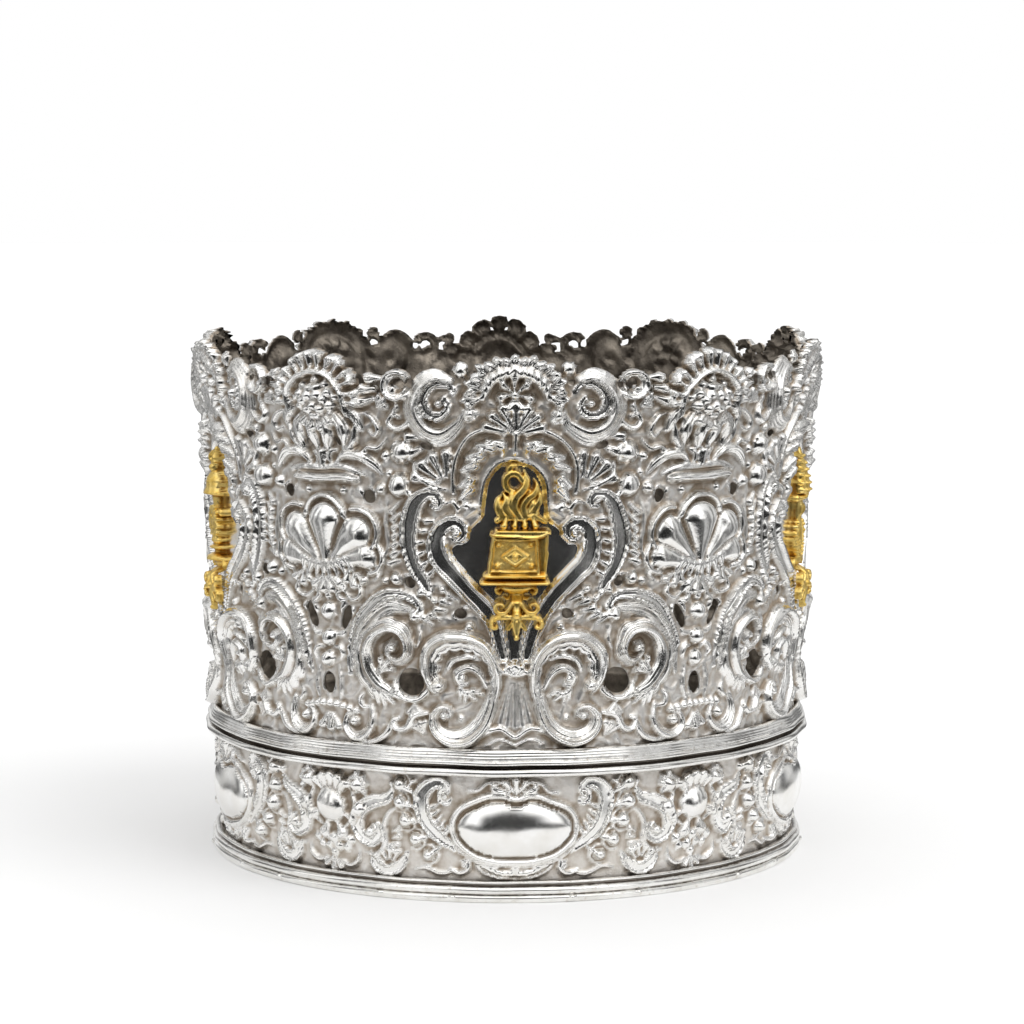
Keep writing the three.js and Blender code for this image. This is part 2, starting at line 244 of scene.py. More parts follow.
def plain_silver():
    """Polished cast silver: slow colour clouds, tarnish in spots, the deep grooves darkened towards a
    near-black brown, fine rubbing marks and soft dents."""
    fresh, worn = (0.94, 0.935, 0.915, 1), (0.80, 0.785, 0.75, 1)
    tarnish, deep_groove_brown = (0.55, 0.49, 0.42, 1), (0.17, 0.145, 0.12, 1)
    n = Nodes("plain_silver")
    cloud = n.noise(9.0, 3.0, 0.6)
    colour = n.mix(n.span(cloud, 0.35, 0.7), fresh, worn)
    spots = n.span(n.noise(1.6, 4.0, 0.7), 0.55, 0.72)
    colour = n.mix(n.math("MULTIPLY", spots, 0.6), colour, tarnish)
    # the deep grooves of the profile are darkened towards a near-black brown, more where the profile lies
    # deeper
    uneven = n.span(n.noise(2.0, 3.0), 0.3, 0.7, -0.25, 0.25)
    filled = n.span(n.math("ADD", n.value("hollow"), uneven), 0.7, 1.3, 0.0, 0.9)
    colour = n.mix(filled, colour, deep_groove_brown)
    rough = n.span(n.noise(2.4, 4.0, 0.65), 0.3, 0.75, 0.08, 0.24)
    normal = n.bump(n.noise(4.5, 1.0), 0.5, 0.16)
    normal = n.bump(n.noise(0.9, 2.0), 0.3, 0.02, normal)
    return n.finish(Base_Color=colour, Metallic=1.0, Roughness=rough, Normal=normal)


PLAIN_SILVER = plain_silver()
rivets = [(bay * BAY + at, RIVET_HEIGHT, RIVET_RADIUS) for bay in range(BAYS) for at in RIVETS_IN_A_BAY]
foot_moulding = moulding("foot_moulding_fine", FOOT_PROFILE, columns=400, dent=0.16, bumps=rivets)
belongs(foot_moulding, PLAIN_SILVER, "foot_moulding")

# ---- Lower band ----
# One ring of sheet silver, raised from behind and chased from in front: an oval mirror with its frame in each
# bay, a spray of tears and scrolls each side of it, and a fruit with leaves at the bay's edge. The ground is
# matted with a punch, and the hollows are toned brown.
WALL_HEIGHTS = (0.0, 42.8, 97.0, 132.0, 150.0, 168.0)
WALL_RADII = (92.2, 93.6, 94.8, 95.8, 98.2, 98.6)
COLUMN = BAY / 2
IN_A_BAY = 228
AROUND = BAYS * IN_A_BAY
PITCH = BAY / IN_A_BAY
THICKNESS = 0.9
SIDE_MARGIN = 1.5
CHANNEL_FLOOR = 0.42
CHANNEL_SIDES = 0.68
LINE_SPACING = 0.85
MIRROR = -1.0  # the matting of flat, polished metal
FLAT_BELOW = -0.8  # a matting below this marks a plate or the floor of a channel


def spline(points, steps=10):
    """A smooth line through points: Catmull-Rom cubics, each cut into equal steps."""
    p = np.array(points, float)
    p = np.vstack([2 * p[0] - p[1], p, 2 * p[-1] - p[-2]])
    a, b, c, d = p[:-3, None], p[1:-2, None], p[2:-1, None], p[3:, None]
    t = np.linspace(0, 1, steps, endpoint=False)[None, :, None]
    curve = 0.5 * (2 * b + (c - a) * t + (2 * a - 5 * b + 4 * c - d) * t**2 + (3 * b - a - 3 * c + d) * t**3)
    return np.vstack([curve.reshape(-1, curve.shape[-1]), p[-2]])


def follow(u, z, line):
    """The nearest place on a line to each point: the share of its length, how far off it lies (positive to
    the left), and the line's length."""
    start, step = line[:-1], np.diff(line, axis=0)
    length = np.maximum(np.hypot(*step.T), 1e-9)
    du, dz = u[:, None] - start[:, 0], z[:, None] - start[:, 1]
    t = np.clip((du * step[:, 0] + dz * step[:, 1]) / length**2, 0, 1)
    off = np.hypot(du - t * step[:, 0], dz - t * step[:, 1])
    near = off.argmin(1)
    row = np.arange(len(u))
    left = step[near, 0] * dz[row, near] - step[near, 1] * du[row, near]
    run = np.concatenate([[0], np.cumsum(length)])
    share = (run[near] + t[row, near] * length[near]) / run[-1]
    return share, np.where(left < 0, -1, 1) * off[row, near], run[-1]


def dome(x):
    """A round rise over -1..1: the root of one less x squared."""
    return np.sqrt(np.maximum(1 - x * x, 0))


def wave(x):
    """0 at whole numbers and 1 half way between them."""
    return 0.5 - 0.5 * np.cos(TURN * x)


class Relief:
    """Raised work over flat points. Where forms cross, the higher one shows. The sheet's value is how far a
    point lies inside the metal."""

    def __init__(self, u, z, sheet):
        self.u, self.z, self.sheet = u, z, sheet
        self.height = np.zeros(u.shape)
        self.matt = np.ones(u.shape)
        self.lines = np.zeros(u.shape)
        self.base = 0.0

    def near(self, line, reach):
        """The points within a form's box, and a margin past it in which the sheet's edge is measured."""
        low, high = np.min(line, 0) - reach - SIDE_MARGIN, np.max(line, 0) + reach + SIDE_MARGIN
        inside = (self.u > low[0]) & (self.u < high[0]) & (self.z > low[1]) & (self.z < high[1])
        return np.nonzero(inside)[0]

    def lay(self, at, height, spare, matt, lines=0.0):
        """Sets a form's height, its matting and its chased lines, a count that runs across it, wherever it is
        the highest so far."""
        height = height + self.base
        self.sheet[at] = np.maximum(self.sheet[at], spare)
        over = (height > self.height[at]) & (spare > 0)
        self.height[at[over]] = height[over]
        self.matt[at[over]] = matt if np.isscalar(matt) else matt[over]
        self.lines[at[over]] = lines if np.isscalar(lines) else lines[over]

    def band(self, points, widths, height, ends=(0.4, 0.4), flutes=0, lean=0.0, ribs=0.0, depth=0.3, roll=0.0,
             tips=0, matt=0.3, channel=False):
        """A raised band on a smooth line: round in section, its height easing to a share at each end. It may
        have flutes along it, ribs across it, a roll on one edge, leaf tips cut into the edge opposite, or be
        a polished channel between two rolls."""
        widths = np.array(widths, float) * np.ones(len(points))
        line = spline(np.column_stack([points, widths]))
        width, line = line[:, 2], line[:, :2]
        at = self.near(line, width.max() / 2)
        if not len(at):
            return
        share, off, total = follow(self.u[at], self.z[at], line)
        steps = np.concatenate([[0], np.cumsum(np.hypot(*np.diff(line, axis=0).T))]) / total
        half = np.interp(share, steps, width) / 2
        if tips:
            cut = 0.72 + 0.32 * np.abs(np.sin(np.pi * tips * share)) ** 0.7
            half = np.where(off * (roll or 1) < 0, half * cut, half)
        x = np.clip(off / half, -1.05, 1.05)
        body = np.maximum(1 - np.abs(x) ** 2.2, 0) ** 0.62
        if flutes:
            body *= 1 - depth * wave(flutes * (x + 1) / 2 + lean * share)
        if ribs:
            body *= 1 - depth * wave(share * total / ribs + lean * x)
        if roll:
            body = 0.62 * body + 0.5 * dome(np.clip((x * np.sign(roll) - 0.55) / 0.45, -1, 1))
        if channel:
            body = np.maximum(CHANNEL_FLOOR, dome(np.clip((np.abs(x) - 0.84) / 0.22, -1, 1)))
            matt = np.where(np.abs(x) < CHANNEL_SIDES, MIRROR, matt)
        rise = ends[0] + (1 - ends[0]) * np.sin(np.pi * np.minimum(share, 0.5))
        fall = ends[1] + (1 - ends[1]) * np.sin(np.pi * np.maximum(share, 0.5))
        lines = 0.0 if channel or ribs else round(width.max() / LINE_SPACING) * (x + 1) / 2 + lean * share
        self.lay(at, height * np.where(share < 0.5, rise, fall) * body, half - np.abs(off), matt, lines)

    def bead(self, u, z, radius, height, matt=0.0, ring=0.0):
        """A bead: part of a ball, with an optional raised ring round it."""
        at = self.near([[u, z]], radius + ring)
        far = np.hypot(self.u[at] - u, self.z[at] - z)
        self.lay(at, height * dome(np.minimum(far / radius, 1)) ** 0.8, radius - far, matt)
        if ring:
            off = np.abs(far - radius - ring / 2)
            self.lay(at, 0.5 * height * dome(np.minimum(off / (ring / 2), 1)), ring / 2 - off, matt)

    def drop(self, start, end, radii, height, groove=0.0, matt=0.1):
        """A tear whose radius eases from its start to its end: domed, or grooved down its middle."""
        at = self.near([start, end], max(radii))
        if not len(at):
            return
        share, off, _ = follow(self.u[at], self.z[at], np.array([start, end], float))
        radius = radii[0] + (radii[1] - radii[0]) * share**1.3
        x = np.minimum(np.abs(off) / radius, 1)
        rise = dome(x) * (0.35 + 0.65 * radius / max(radii))
        if groove:
            rise *= 1 - groove * np.exp(-((x / 0.3) ** 2))
        self.lay(at, height * rise, radius - np.abs(off), matt, 1.5 * off / radius)

    def fan(self, centre, count, spread, reach, radii, height, turn=0.0, groove=0.0, matt=0.1):
        """Tears that spread from a centre, over angles from straight up, from one reach to another."""
        for angle in np.radians(turn + np.linspace(-spread, spread, count)):
            way = np.array([np.sin(angle), np.cos(angle)])
            root, tip = [np.add(centre, far * way) for far in reach]
            self.drop(root, tip, radii, height, groove, matt)

    def row(self, points, count, reach, radii, height, lean=0.0, groove=0.0, matt=0.15):
        """Tears side by side along a smooth line, each across it and leaning along it."""
        line = spline(points)
        run = np.concatenate([[0], np.cumsum(np.hypot(*np.diff(line, axis=0).T))])
        for far in (np.arange(count) + 0.5) / count * run[-1]:
            places = [[np.interp(far + d, run, line[:, k]) for k in (0, 1)] for d in (-0.2, 0, 0.2)]
            back, here, ahead = places
            way = np.subtract(ahead, back)
            way = way / max(np.hypot(*way), 1e-6)
            side = reach * np.array([-way[1], way[0]]) + lean * way
            self.drop(here - side, here + side, radii, height, groove, matt)

    def seeds(self, u, z, across, up, height, seed, bump):
        """A dome set with seeds on a spiral, each a golden angle on from the last."""
        margin = 1.02
        at = self.near([[u, z]], max(across, up))
        x, y = (self.u[at] - u) / across, (self.z[at] - z) / up
        count = int(across * up / seed**2)
        order = np.sqrt((np.arange(count) + 0.5) / count)
        angle = np.arange(count) * np.pi * (3 - np.sqrt(5))
        gap = np.hypot(x[:, None] - order * np.cos(angle), y[:, None] - order * np.sin(angle)).min(1)
        far = np.hypot(x, y)
        rise = height * dome(np.minimum(far, 1)) + bump * dome(np.minimum(gap * across / seed, 1))
        self.lay(at, rise * (far < margin), (margin - far) * min(across, up), matt=0.1)

    def plate(self, outline, height, edge, matt):
        """A flat of one height inside an outline, its sides sloping down over a given edge."""
        line = np.vstack([outline, outline[:1]])
        at = self.near(line, 0)
        u, z = self.u[at][:, None], self.z[at][:, None]
        a, b = line[:-1], line[1:]
        rises = (a[:, 1] > z) != (b[:, 1] > z)
        with np.errstate(divide="ignore", invalid="ignore"):
            cross = a[:, 0] + (z - a[:, 1]) * (b[:, 0] - a[:, 0]) / (b[:, 1] - a[:, 1])
        within = (rises & (u < cross)).sum(1) % 2 == 1
        far = np.abs(follow(self.u[at], self.z[at], line)[1])
        self.lay(at, height * np.minimum(far / edge, 1) * within, np.where(within, far, -far), matt)

    def turned(self, u, profile, height):
        """The front half of a turned body on an upright axis, from its [z, radius] points: at each height its
        rise is a round of that radius, scaled by a share."""
        profile = np.array(profile, float)
        at = self.near(np.stack([u + 0 * profile[:, 0], profile[:, 0]], -1), profile[:, 1].max())
        radius = np.interp(self.z[at], profile[:, 0], profile[:, 1])
        off = np.abs(self.u[at] - u)
        low, high = profile[[0, -1], 0]
        spare = np.minimum(radius - off, np.minimum(self.z[at] - low, high - self.z[at]) + 0.01)
        self.lay(at, height * radius * dome(np.minimum(off / np.maximum(radius, 0.05), 1)), spare, matt=0.0)

    def pierce(self, u, z, across, up, turn=0.0):
        """An oval hole: the sheet ends where the oval's own distance is one, and over the last of its way
        there it dips to a share of its height."""
        dip, reach = 0.35, 1.2
        a = np.radians(turn)
        du, dz = self.u - u, self.z - z
        x, y = (du * np.cos(a) + dz * np.sin(a)) / across, (dz * np.cos(a) - du * np.sin(a)) / up
        far = (np.hypot(x, y) - 1) * min(across, up)
        self.sheet = np.minimum(self.sheet, far)
        lip = np.clip(far / reach, 0, 1)
        self.height = np.where(lip < 1, self.height * (dip + (1 - dip) * lip), self.height)


def soften(field, cells):
    """A field averaged over a bell of a given width in cells. It closes on itself along its rows."""
    reach = int(np.ceil(3 * cells))
    offsets = np.arange(-reach, reach + 1)
    bell = np.exp(-0.5 * (offsets / cells) ** 2)
    bell /= bell.sum()
    field = sum(share * np.roll(field, d, 1) for d, share in zip(offsets, bell))
    padded = np.pad(field, ((reach, reach), (0, 0)), "edge")
    return sum(share * padded[reach + d: reach + d + len(field)] for d, share in zip(offsets, bell))


def bend(u, z, rise):
    """Flat work bent round the crown: the radius is the wall's at that height plus the rise."""
    r = np.interp(z, WALL_HEIGHTS, WALL_RADII) + rise
    return np.stack([r * np.sin(u / LAYOUT), -r * np.cos(u / LAYOUT), z + 0 * u], -1)


def winding(u, z, seed, spacing, width):
    """Ridges that wind over the ground: 1 where a field is zero, falling off as a bell. The field is twelve
    waves of one spacing and any heading, each with a whole count round the crown."""
    waves = 12
    chance = np.random.default_rng(seed)
    total = 0.0
    for heading in chance.uniform(0, TURN, waves):
        count = round(np.cos(heading) * TURN * LAYOUT / spacing)
        climb = np.sin(heading) * TURN * z / spacing
        total = total + np.sin(count * u / LAYOUT + climb + chance.uniform(0, TURN))
    return np.exp(-((total / np.sqrt(waves / 2) / width) ** 2))


def chase(layout, heights, edge_at, seed, swell, sprays):
    """Works a layout, drawn for half a bay, all round the crown. The drawing drifts a little from bay to bay.
    Broad forms swell, a groove is chased round each, and small sprays wind over the uneven ground between.
    Flats keep their height but for slow waves."""
    full, groove_depth = 0.8, 0.5
    u = -BAY / 2 + PITCH * np.arange(AROUND)
    U, Z = np.meshgrid(u, heights)
    across = U + wander(U, Z, seed, 0.33)
    fold = np.abs((across + COLUMN) % (2 * COLUMN) - COLUMN)
    up = Z + wander(U, Z, seed + 1, 0.3)
    relief = Relief(fold.ravel(), up.ravel(), (edge_at(fold, U) - up).ravel())
    layout(relief)
    layers = (relief.height, relief.matt, relief.lines, relief.sheet)
    height, matt, lines, sheet = [layer.reshape(U.shape) for layer in layers]
    field = soften((matt < FLAT_BELOW).astype(float), 0.6)
    uneven = wander(U, Z, seed + 2, 0.1, 90) + wander(U, 1.7 * Z, seed + 3, 0.09, 160)
    raised = soften(np.minimum(height / full, 1), 2.2)
    ground = (1 - raised) * (1 - field) * (matt > 0.7)
    spray = np.maximum(winding(U, Z, seed + 5, 10, 0.5), 0.6 * winding(U, Z, seed + 6, 5.5, 0.5)) * ground
    spray = spray * (0.75 + 0.25 * winding(U, Z, seed + 7, 3, 0.8))
    matt = matt - 0.8 * sprays * spray
    height = height * (1 + 0.06 * wander(U, Z, seed + 4, 1.0, 60)) + sprays * spray
    broad = soften(height, 6)
    groove = groove_depth * raised * (1 - np.minimum(height / full, 1))
    eased = np.where(matt < FLAT_BELOW, height, soften(height, 0.6))
    height = eased + (swell * broad + uneven - groove) * (1 - field)
    height = height + 0.13 * field * wander(U, 1.5 * Z, seed + 8, 1.0, 55)
    hollow = soften(height, 2.2) - height
    return U, Z, height, soften(matt, 0.5), hollow, lines, sheet


def cell_mean(field):
    """The mean of a fine field over each inner cell, which is two cells wide and high."""
    centre = (field[:-1] + field[1:]) / 2
    centre = (centre + np.roll(centre, -1, 1)) / 2
    return (centre[0::2, 0::2] + centre[1::2, 0::2] + centre[0::2, 1::2] + centre[1::2, 1::2]) / 4


def grow(keep):
    """Cells of a kept part: cells that only touch at a corner are filled in, and islands that don't hang
    together with the lowest row are dropped."""
    for _ in range(3):
        right, up = np.roll(keep, -1, 1), np.vstack([keep[1:], keep[-1:]])
        both = np.roll(up, -1, 1)
        pinch = (keep & both & ~right & ~up) | (~keep & ~both & right & up)
        keep = keep | pinch | np.roll(pinch, 1, 1)
    whole = np.zeros_like(keep)
    whole[0] = keep[0]
    for _ in range(4 * len(keep)):
        spread = whole | np.roll(whole, 1, 1) | np.roll(whole, -1, 1)
        spread[1:] |= whole[:-1]
        spread[:-1] |= whole[1:]
        spread &= keep
        if (spread == whole).all():
            break
        whole = spread
    return whole


def trim(U, Z, sheet, keep):
    """Moves the points on the edge of the kept part to the line where the sheet ends, which lies at their
    distance over its slope, and eases the points behind them after it."""
    least_slope, farthest, passes, follow_on = 0.3, 1.3, 8, 0.96
    fine = np.repeat(np.repeat(keep, 2, 0), 2, 1)
    below, above = np.vstack([fine, fine[-1:]]), np.vstack([fine[:1], fine])
    corners = [a.astype(int) for a in (below, above, np.roll(below, 1, 1), np.roll(above, 1, 1))]
    touching = sum(corners)
    rim = (touching > 0) & (touching < 4)
    rim[0] = rim[-1] = False
    pitch = U[0, 1] - U[0, 0]
    slope_u = (np.roll(sheet, -1, 1) - np.roll(sheet, 1, 1)) / (2 * pitch)
    slope_z = np.gradient(sheet, Z[:, 0], axis=0)
    steep = np.maximum(slope_u**2 + slope_z**2, least_slope)
    limit = farthest * pitch
    aim = [np.clip(-sheet * slope / steep, -limit, limit) for slope in (slope_u, slope_z)]
    moved = []
    for way in aim:
        shift = np.where(rim, way, 0)
        for _ in range(passes):
            padded = np.pad(shift, ((1, 1), (0, 0)), "edge")
            around = (padded[2:] + padded[:-2] + np.roll(shift, 1, 1) + np.roll(shift, -1, 1)) / 4
            shift = np.where(rim, way, follow_on * around)
        moved.append(shift)
    moved[1][0] = moved[1][-1] = 0
    return U + moved[0], Z + moved[1]


def sheet_mesh(name, outer, inner, keep, first, columns, closed, values):
    """A closed thin sheet from a fine outer grid and an inner grid half as fine. Each kept inner cell has
    four outer cells over it. Where the next cell is missing, a five-sided wall joins the two. A wall that
    meets the next piece of the same ring keeps its points' own normals, so that no seam shows."""
    rows, across = outer.shape[:2]
    inner_rows, inner_across = inner.shape[:2]
    inner_start = rows * across
    i, j = np.nonzero(keep[:, (first + np.arange(columns)) % inner_across])
    j = (j + first) % inner_across
    at = lambda a, b: a * across + b % across
    back = lambda a, b: inner_start + a * inner_across + b % inner_across
    skin = []
    for di in (0, 1):
        for dj in (0, 1):
            a, b = 2 * i + di, 2 * j + dj
            skin.append(np.stack([at(a, b), at(a, b + 1), at(a + 1, b + 1), at(a + 1, b)], -1))
    skin = np.concatenate(skin)
    lining = np.stack([back(i, j), back(i + 1, j), back(i + 1, j + 1), back(i, j + 1)], -1)

    def missing(a, b):
        """Whether a cell is off the grid, cut away or in the next piece."""
        gone = (a < 0) | (a >= inner_rows - 1)
        gone |= ~keep[np.clip(a, 0, inner_rows - 2), b % inner_across]
        if not closed:
            gone |= (b - first) % inner_across >= columns
        return gone

    walls, hidden = [], []
    for da, db, run in [
        (-1, 0, ((0, 2), (0, 1), (0, 0))),
        (0, 1, ((2, 2), (1, 2), (0, 2))),
        (1, 0, ((2, 0), (2, 1), (2, 2))),
        (0, -1, ((0, 0), (1, 0), (2, 0))),
    ]:
        a, b = [k[missing(i + da, j + db)] for k in (i, j)]
        front = [at(2 * a + p, 2 * b + q) for p, q in run]
        behind = [back(a + p // 2, b + q // 2) for p, q in (run[2], run[0])]
        walls.append(np.stack(front + behind, -1))
        hidden.append((not closed) & ((b + db - first) % inner_across >= columns))
    walls, hidden = np.concatenate(walls), np.concatenate(hidden)
    points = np.concatenate([outer.reshape(-1, 3), inner.reshape(-1, 3)])
    normals = np.concatenate([outward(outer).reshape(-1, 3), -outward(inner).reshape(-1, 3)])
    corner = points[walls]
    flat = np.cross(corner, np.roll(corner, -1, 1)).sum(1)
    flat /= np.maximum(np.linalg.norm(flat, axis=1, keepdims=True), 1e-12)
    turned = np.where(hidden[:, None, None], normals[walls], flat[:, None])
    lists = [normals[skin].reshape(-1, 3), normals[lining].reshape(-1, 3), turned.reshape(-1, 3)]
    return build(name, points, [skin, lining, walls], lists, **values)


def chased_sheet(names, layout, heights, edge_at, seed, swell, sprays):
    """The pieces of a band of chased sheet: worked, cut to its edge and holes, and lined. The lining follows
    the softened relief a thickness behind it, and never comes nearer than the least wall."""
    least_wall = 0.4
    U, Z, height, matt, hollow, lines, sheet = chase(layout, heights, edge_at, seed, swell, sprays)
    keep = grow(cell_mean(sheet) > 0)
    U, Z = trim(U, Z, sheet, keep)
    outer = bend(U, Z, height)
    least = height.copy()
    for shift in ((0, 1), (0, -1), (1, 0), (-1, 0)):
        least = np.minimum(least, np.roll(height, shift, (0, 1)))
    behind = np.minimum(soften(height, 1.6) - THICKNESS, least - least_wall)[::2, ::2]
    inner = bend(U[::2, ::2], Z[::2, ::2], behind)
    front_and_back = [("matt", matt, 1), ("hollow", hollow, 0), ("lines", lines, 0), ("inside", 0 * matt, 1)]
    values = {key: np.concatenate([front.ravel(), 0 * behind.ravel() + back]) for key, front,
              back in front_and_back}
    count = len(names)
    columns = AROUND // 2 // count
    pieces = []
    for k, name in enumerate(names):
        pieces.append(sheet_mesh(name, outer, inner, keep, k * columns, columns, count == 1, values))
    return pieces


def lower_layout(r):
    """Oval mirror and frame, tears and scrolls beside it, and the fruit at the bay's edge."""
    c = COLUMN
    # the mirror
    oval = spline([(-1, 12.9), (5, 13.3), (12, 15.6), (16.8, 19.6), (17.6, 23.6), (15.6, 26.8), (11.8, 28.8),
                   (8, 30.6), (4.6, 30.8), (1.6, 29.8), (-1, 29.7)])
    at = r.near(oval, 4)
    far = np.hypot(r.u[at] / 17.9, (r.z[at] - 22.1) / 9.3)
    _, off, _ = follow(r.u[at], r.z[at], oval)
    within = np.where((off > 0) | (far < 0.7), np.abs(off), -1)
    r.lay(at, (1.2 + 3.6 * dome(np.minimum(far, 1)) ** 1.2) * (within > 0), np.where(within > 0, 1, -1),
          MIRROR)
    # its frame
    r.band([(-1, 11.5), (5, 11.8), (13, 14.2), (18.4, 18.7), (19.3, 24), (17, 28.2), (12.6, 30.6),
            (8.4, 32.4), (4.6, 32.6), (1.4, 31.6), (-1, 31.5)], 2.2, 2.4, ends=(1, 1), flutes=1, depth=0.2,
           matt=0.2)
    r.band([(-1, 10.2), (6, 10.6), (14, 12.8), (19.6, 17)], 1.3, 1.5, ends=(1, 0.4), matt=0.4)
    # bow over it and crescent under it
    r.drop((0, 33.2), (0, 37.2), (0.7, 1.5), 2.6, matt=0)
    r.drop((1, 33.6), (3.4, 36.4), (0.6, 1.4), 2.4, groove=0.3)
    r.drop((2.4, 33.4), (6.6, 34.8), (0.6, 1.3), 2.2, groove=0.3)
    r.band([(4.4, 36.4), (8.4, 36.4), (11.4, 34), (14.4, 33.6)], 1.5, 1.7)
    r.band([(-1, 8.2), (4.6, 8.6), (9.4, 10.4), (12.8, 11.9)], [2.2, 2.2, 1.8, 1], 1.9, ends=(1, 0.4),
           ribs=2.2, matt=0.1)
    r.band([(12.4, 11), (9.6, 8.6), (5, 6.9), (-1, 6.5)], 1.1, 1.2, ends=(0.5, 1), matt=0.3)
    for u in (0, 7):
        r.bead(u, 9.6, 1.3, 1.9)
    # C scroll beside the mirror
    r.band([(20.4, 31), (21.2, 29.9), (22.6, 30.3), (22.9, 32.2), (21.4, 33.8), (22.6, 35.8), (25.6, 35.3),
            (28.2, 32.6), (28.8, 28.4), (27.3, 23.6), (24, 19.8), (20.4, 17), (17.2, 15)],
           [1.4, 1.8, 2.2, 2.6, 3, 3.8, 4.8, 5, 4.8, 4.4, 3.8, 3, 1.8], 3, ends=(0.6, 0.4), channel=True,
           matt=0.1)
    r.bead(21.7, 31.9, 1.0, 2.6)
    r.row([(24.8, 29.8), (24.4, 26.6), (22.6, 23.4), (20.4, 21.4)], 5, 0.9, (0.5, 1.0), 1.6, lean=0.4,
          matt=0.2)
    # tears beyond it
    for tail, head, size in [((29.6, 31.4), (35.8, 35.4), 2.5), ((30.2, 27.6), (36, 29.4), 2.4),
                             ((29.2, 23.6), (34.4, 23.6), 2.3), ((26.6, 19.4), (31.2, 18.2), 2.2),
                             ((23.2, 16), (26.8, 13.6), 2.1)]:
        r.drop(tail, head, (0.6, 0.8 * size), 2.6, matt=0)
        r.bead(*head, size, 3.4, matt=-0.1)
        r.band(arc(head, size + 1, 60, 300), 1.1, 1.3, matt=0.3)
    r.band([(20, 9), (17, 8.2), (14.4, 9.6), (14.6, 11.8), (16.6, 12)], [1.2, 1.8, 2, 1.8, 1.2], 2.2,
           matt=0.1)
    r.bead(16, 10.6, 0.9, 1.8)
    r.band([(18.4, 8.4), (23, 7.6), (28, 9.4), (32, 9)], [1, 1.8, 1.6, 0.9], 1.6, flutes=2)
    r.bead(39, 35.2, 1.3, 1.6)
    r.bead(31.4, 36.2, 1.1, 1.5)
    # S scroll towards the fruit
    r.band([(38.8, 33.2), (41, 30.2), (45, 28.9), (48.9, 26.6), (50.6, 22.4), (49.2, 18.4), (45.8, 16.8),
            (43.3, 18.6), (44, 21.3), (46.2, 21)], [1.6, 3.4, 4.4, 4.8, 4.6, 4, 3.4, 2.8, 2.2, 1.4], 3.1,
           ends=(0.4, 0.6), channel=True, matt=0.1)
    r.bead(45.6, 19.8, 1.7, 3.4)
    r.band([(37.4, 27.6), (40.4, 25.4), (42, 21.4), (41.4, 16.6), (44.4, 12.8), (48.4, 13)],
           [1, 1.8, 2.2, 2.2, 2, 1], 2, flutes=2, lean=0.3, matt=0.3)
    r.band([(34.6, 13.4), (36.8, 9.8), (40.6, 8.1), (44.6, 9.6), (46.4, 13)], [1.6, 3.4, 4, 3.6, 1.6], 2.6,
           ends=(0.4, 0.4), channel=True, matt=0.15)
    r.fan((40.2, 9.6), 4, 44, (2.2, 5.4), (0.5, 1.1), 2, turn=10, groove=0.2)
    r.fan((52.6, 33.4), 4, 46, (0.8, 4.4), (0.5, 1.2), 2, turn=-70, groove=0.3, matt=0.2)
    r.band([(47.6, 34.6), (50.6, 36.4), (54.4, 35)], 1.4, 1.5)
    r.row([(40.4, 13.6), (38.2, 17.4), (38, 21.4)], 4, 1.1, (0.5, 1.1), 1.7, lean=0.5, matt=0.25)
    # fruit, its leaves and berries
    r.bead(c, 26.6, 5.6, 3.9)
    r.fan((c, 27), 5, 40, (4.6, 8.6), (0.9, 2.0), 3.3, groove=0.3)
    r.fan((c, 26), 4, 70, (5.4, 8.6), (1.0, 2.2), 2.6, turn=180, groove=0.35, matt=0.2)
    for du, z in [(9.4, 33.4), (10.2, 26)]:
        r.bead(c - du, z, 2.2, 2.8, ring=0.6)
    r.band([(c - 7.2, 31.6), (c - 8.6, 27.4), (c - 7.4, 23), (c - 4.4, 20)], [1.2, 2.2, 2.2, 1], 2.2,
           flutes=2, matt=0.2)
    for du, z, radius in [(0, 16.4, 1.7), (3.2, 17, 1.5), (6.2, 16, 1.4), (1.7, 13.8, 1.3), (4.6, 13.6, 1.2),
                          (0, 11.6, 1.2)]:
        r.bead(c - du, z, radius, 1.15 * radius, ring=0.4)
    r.band([(c - 2, 9.6), (c - 5.6, 8.4), (c - 9, 10.2), (c - 9.6, 13)], [1, 2, 2, 1], 1.9, flutes=2)
    r.fan((c, 10.4), 3, 40, (1, 4), (0.5, 1.2), 1.9, turn=180, groove=0.3)


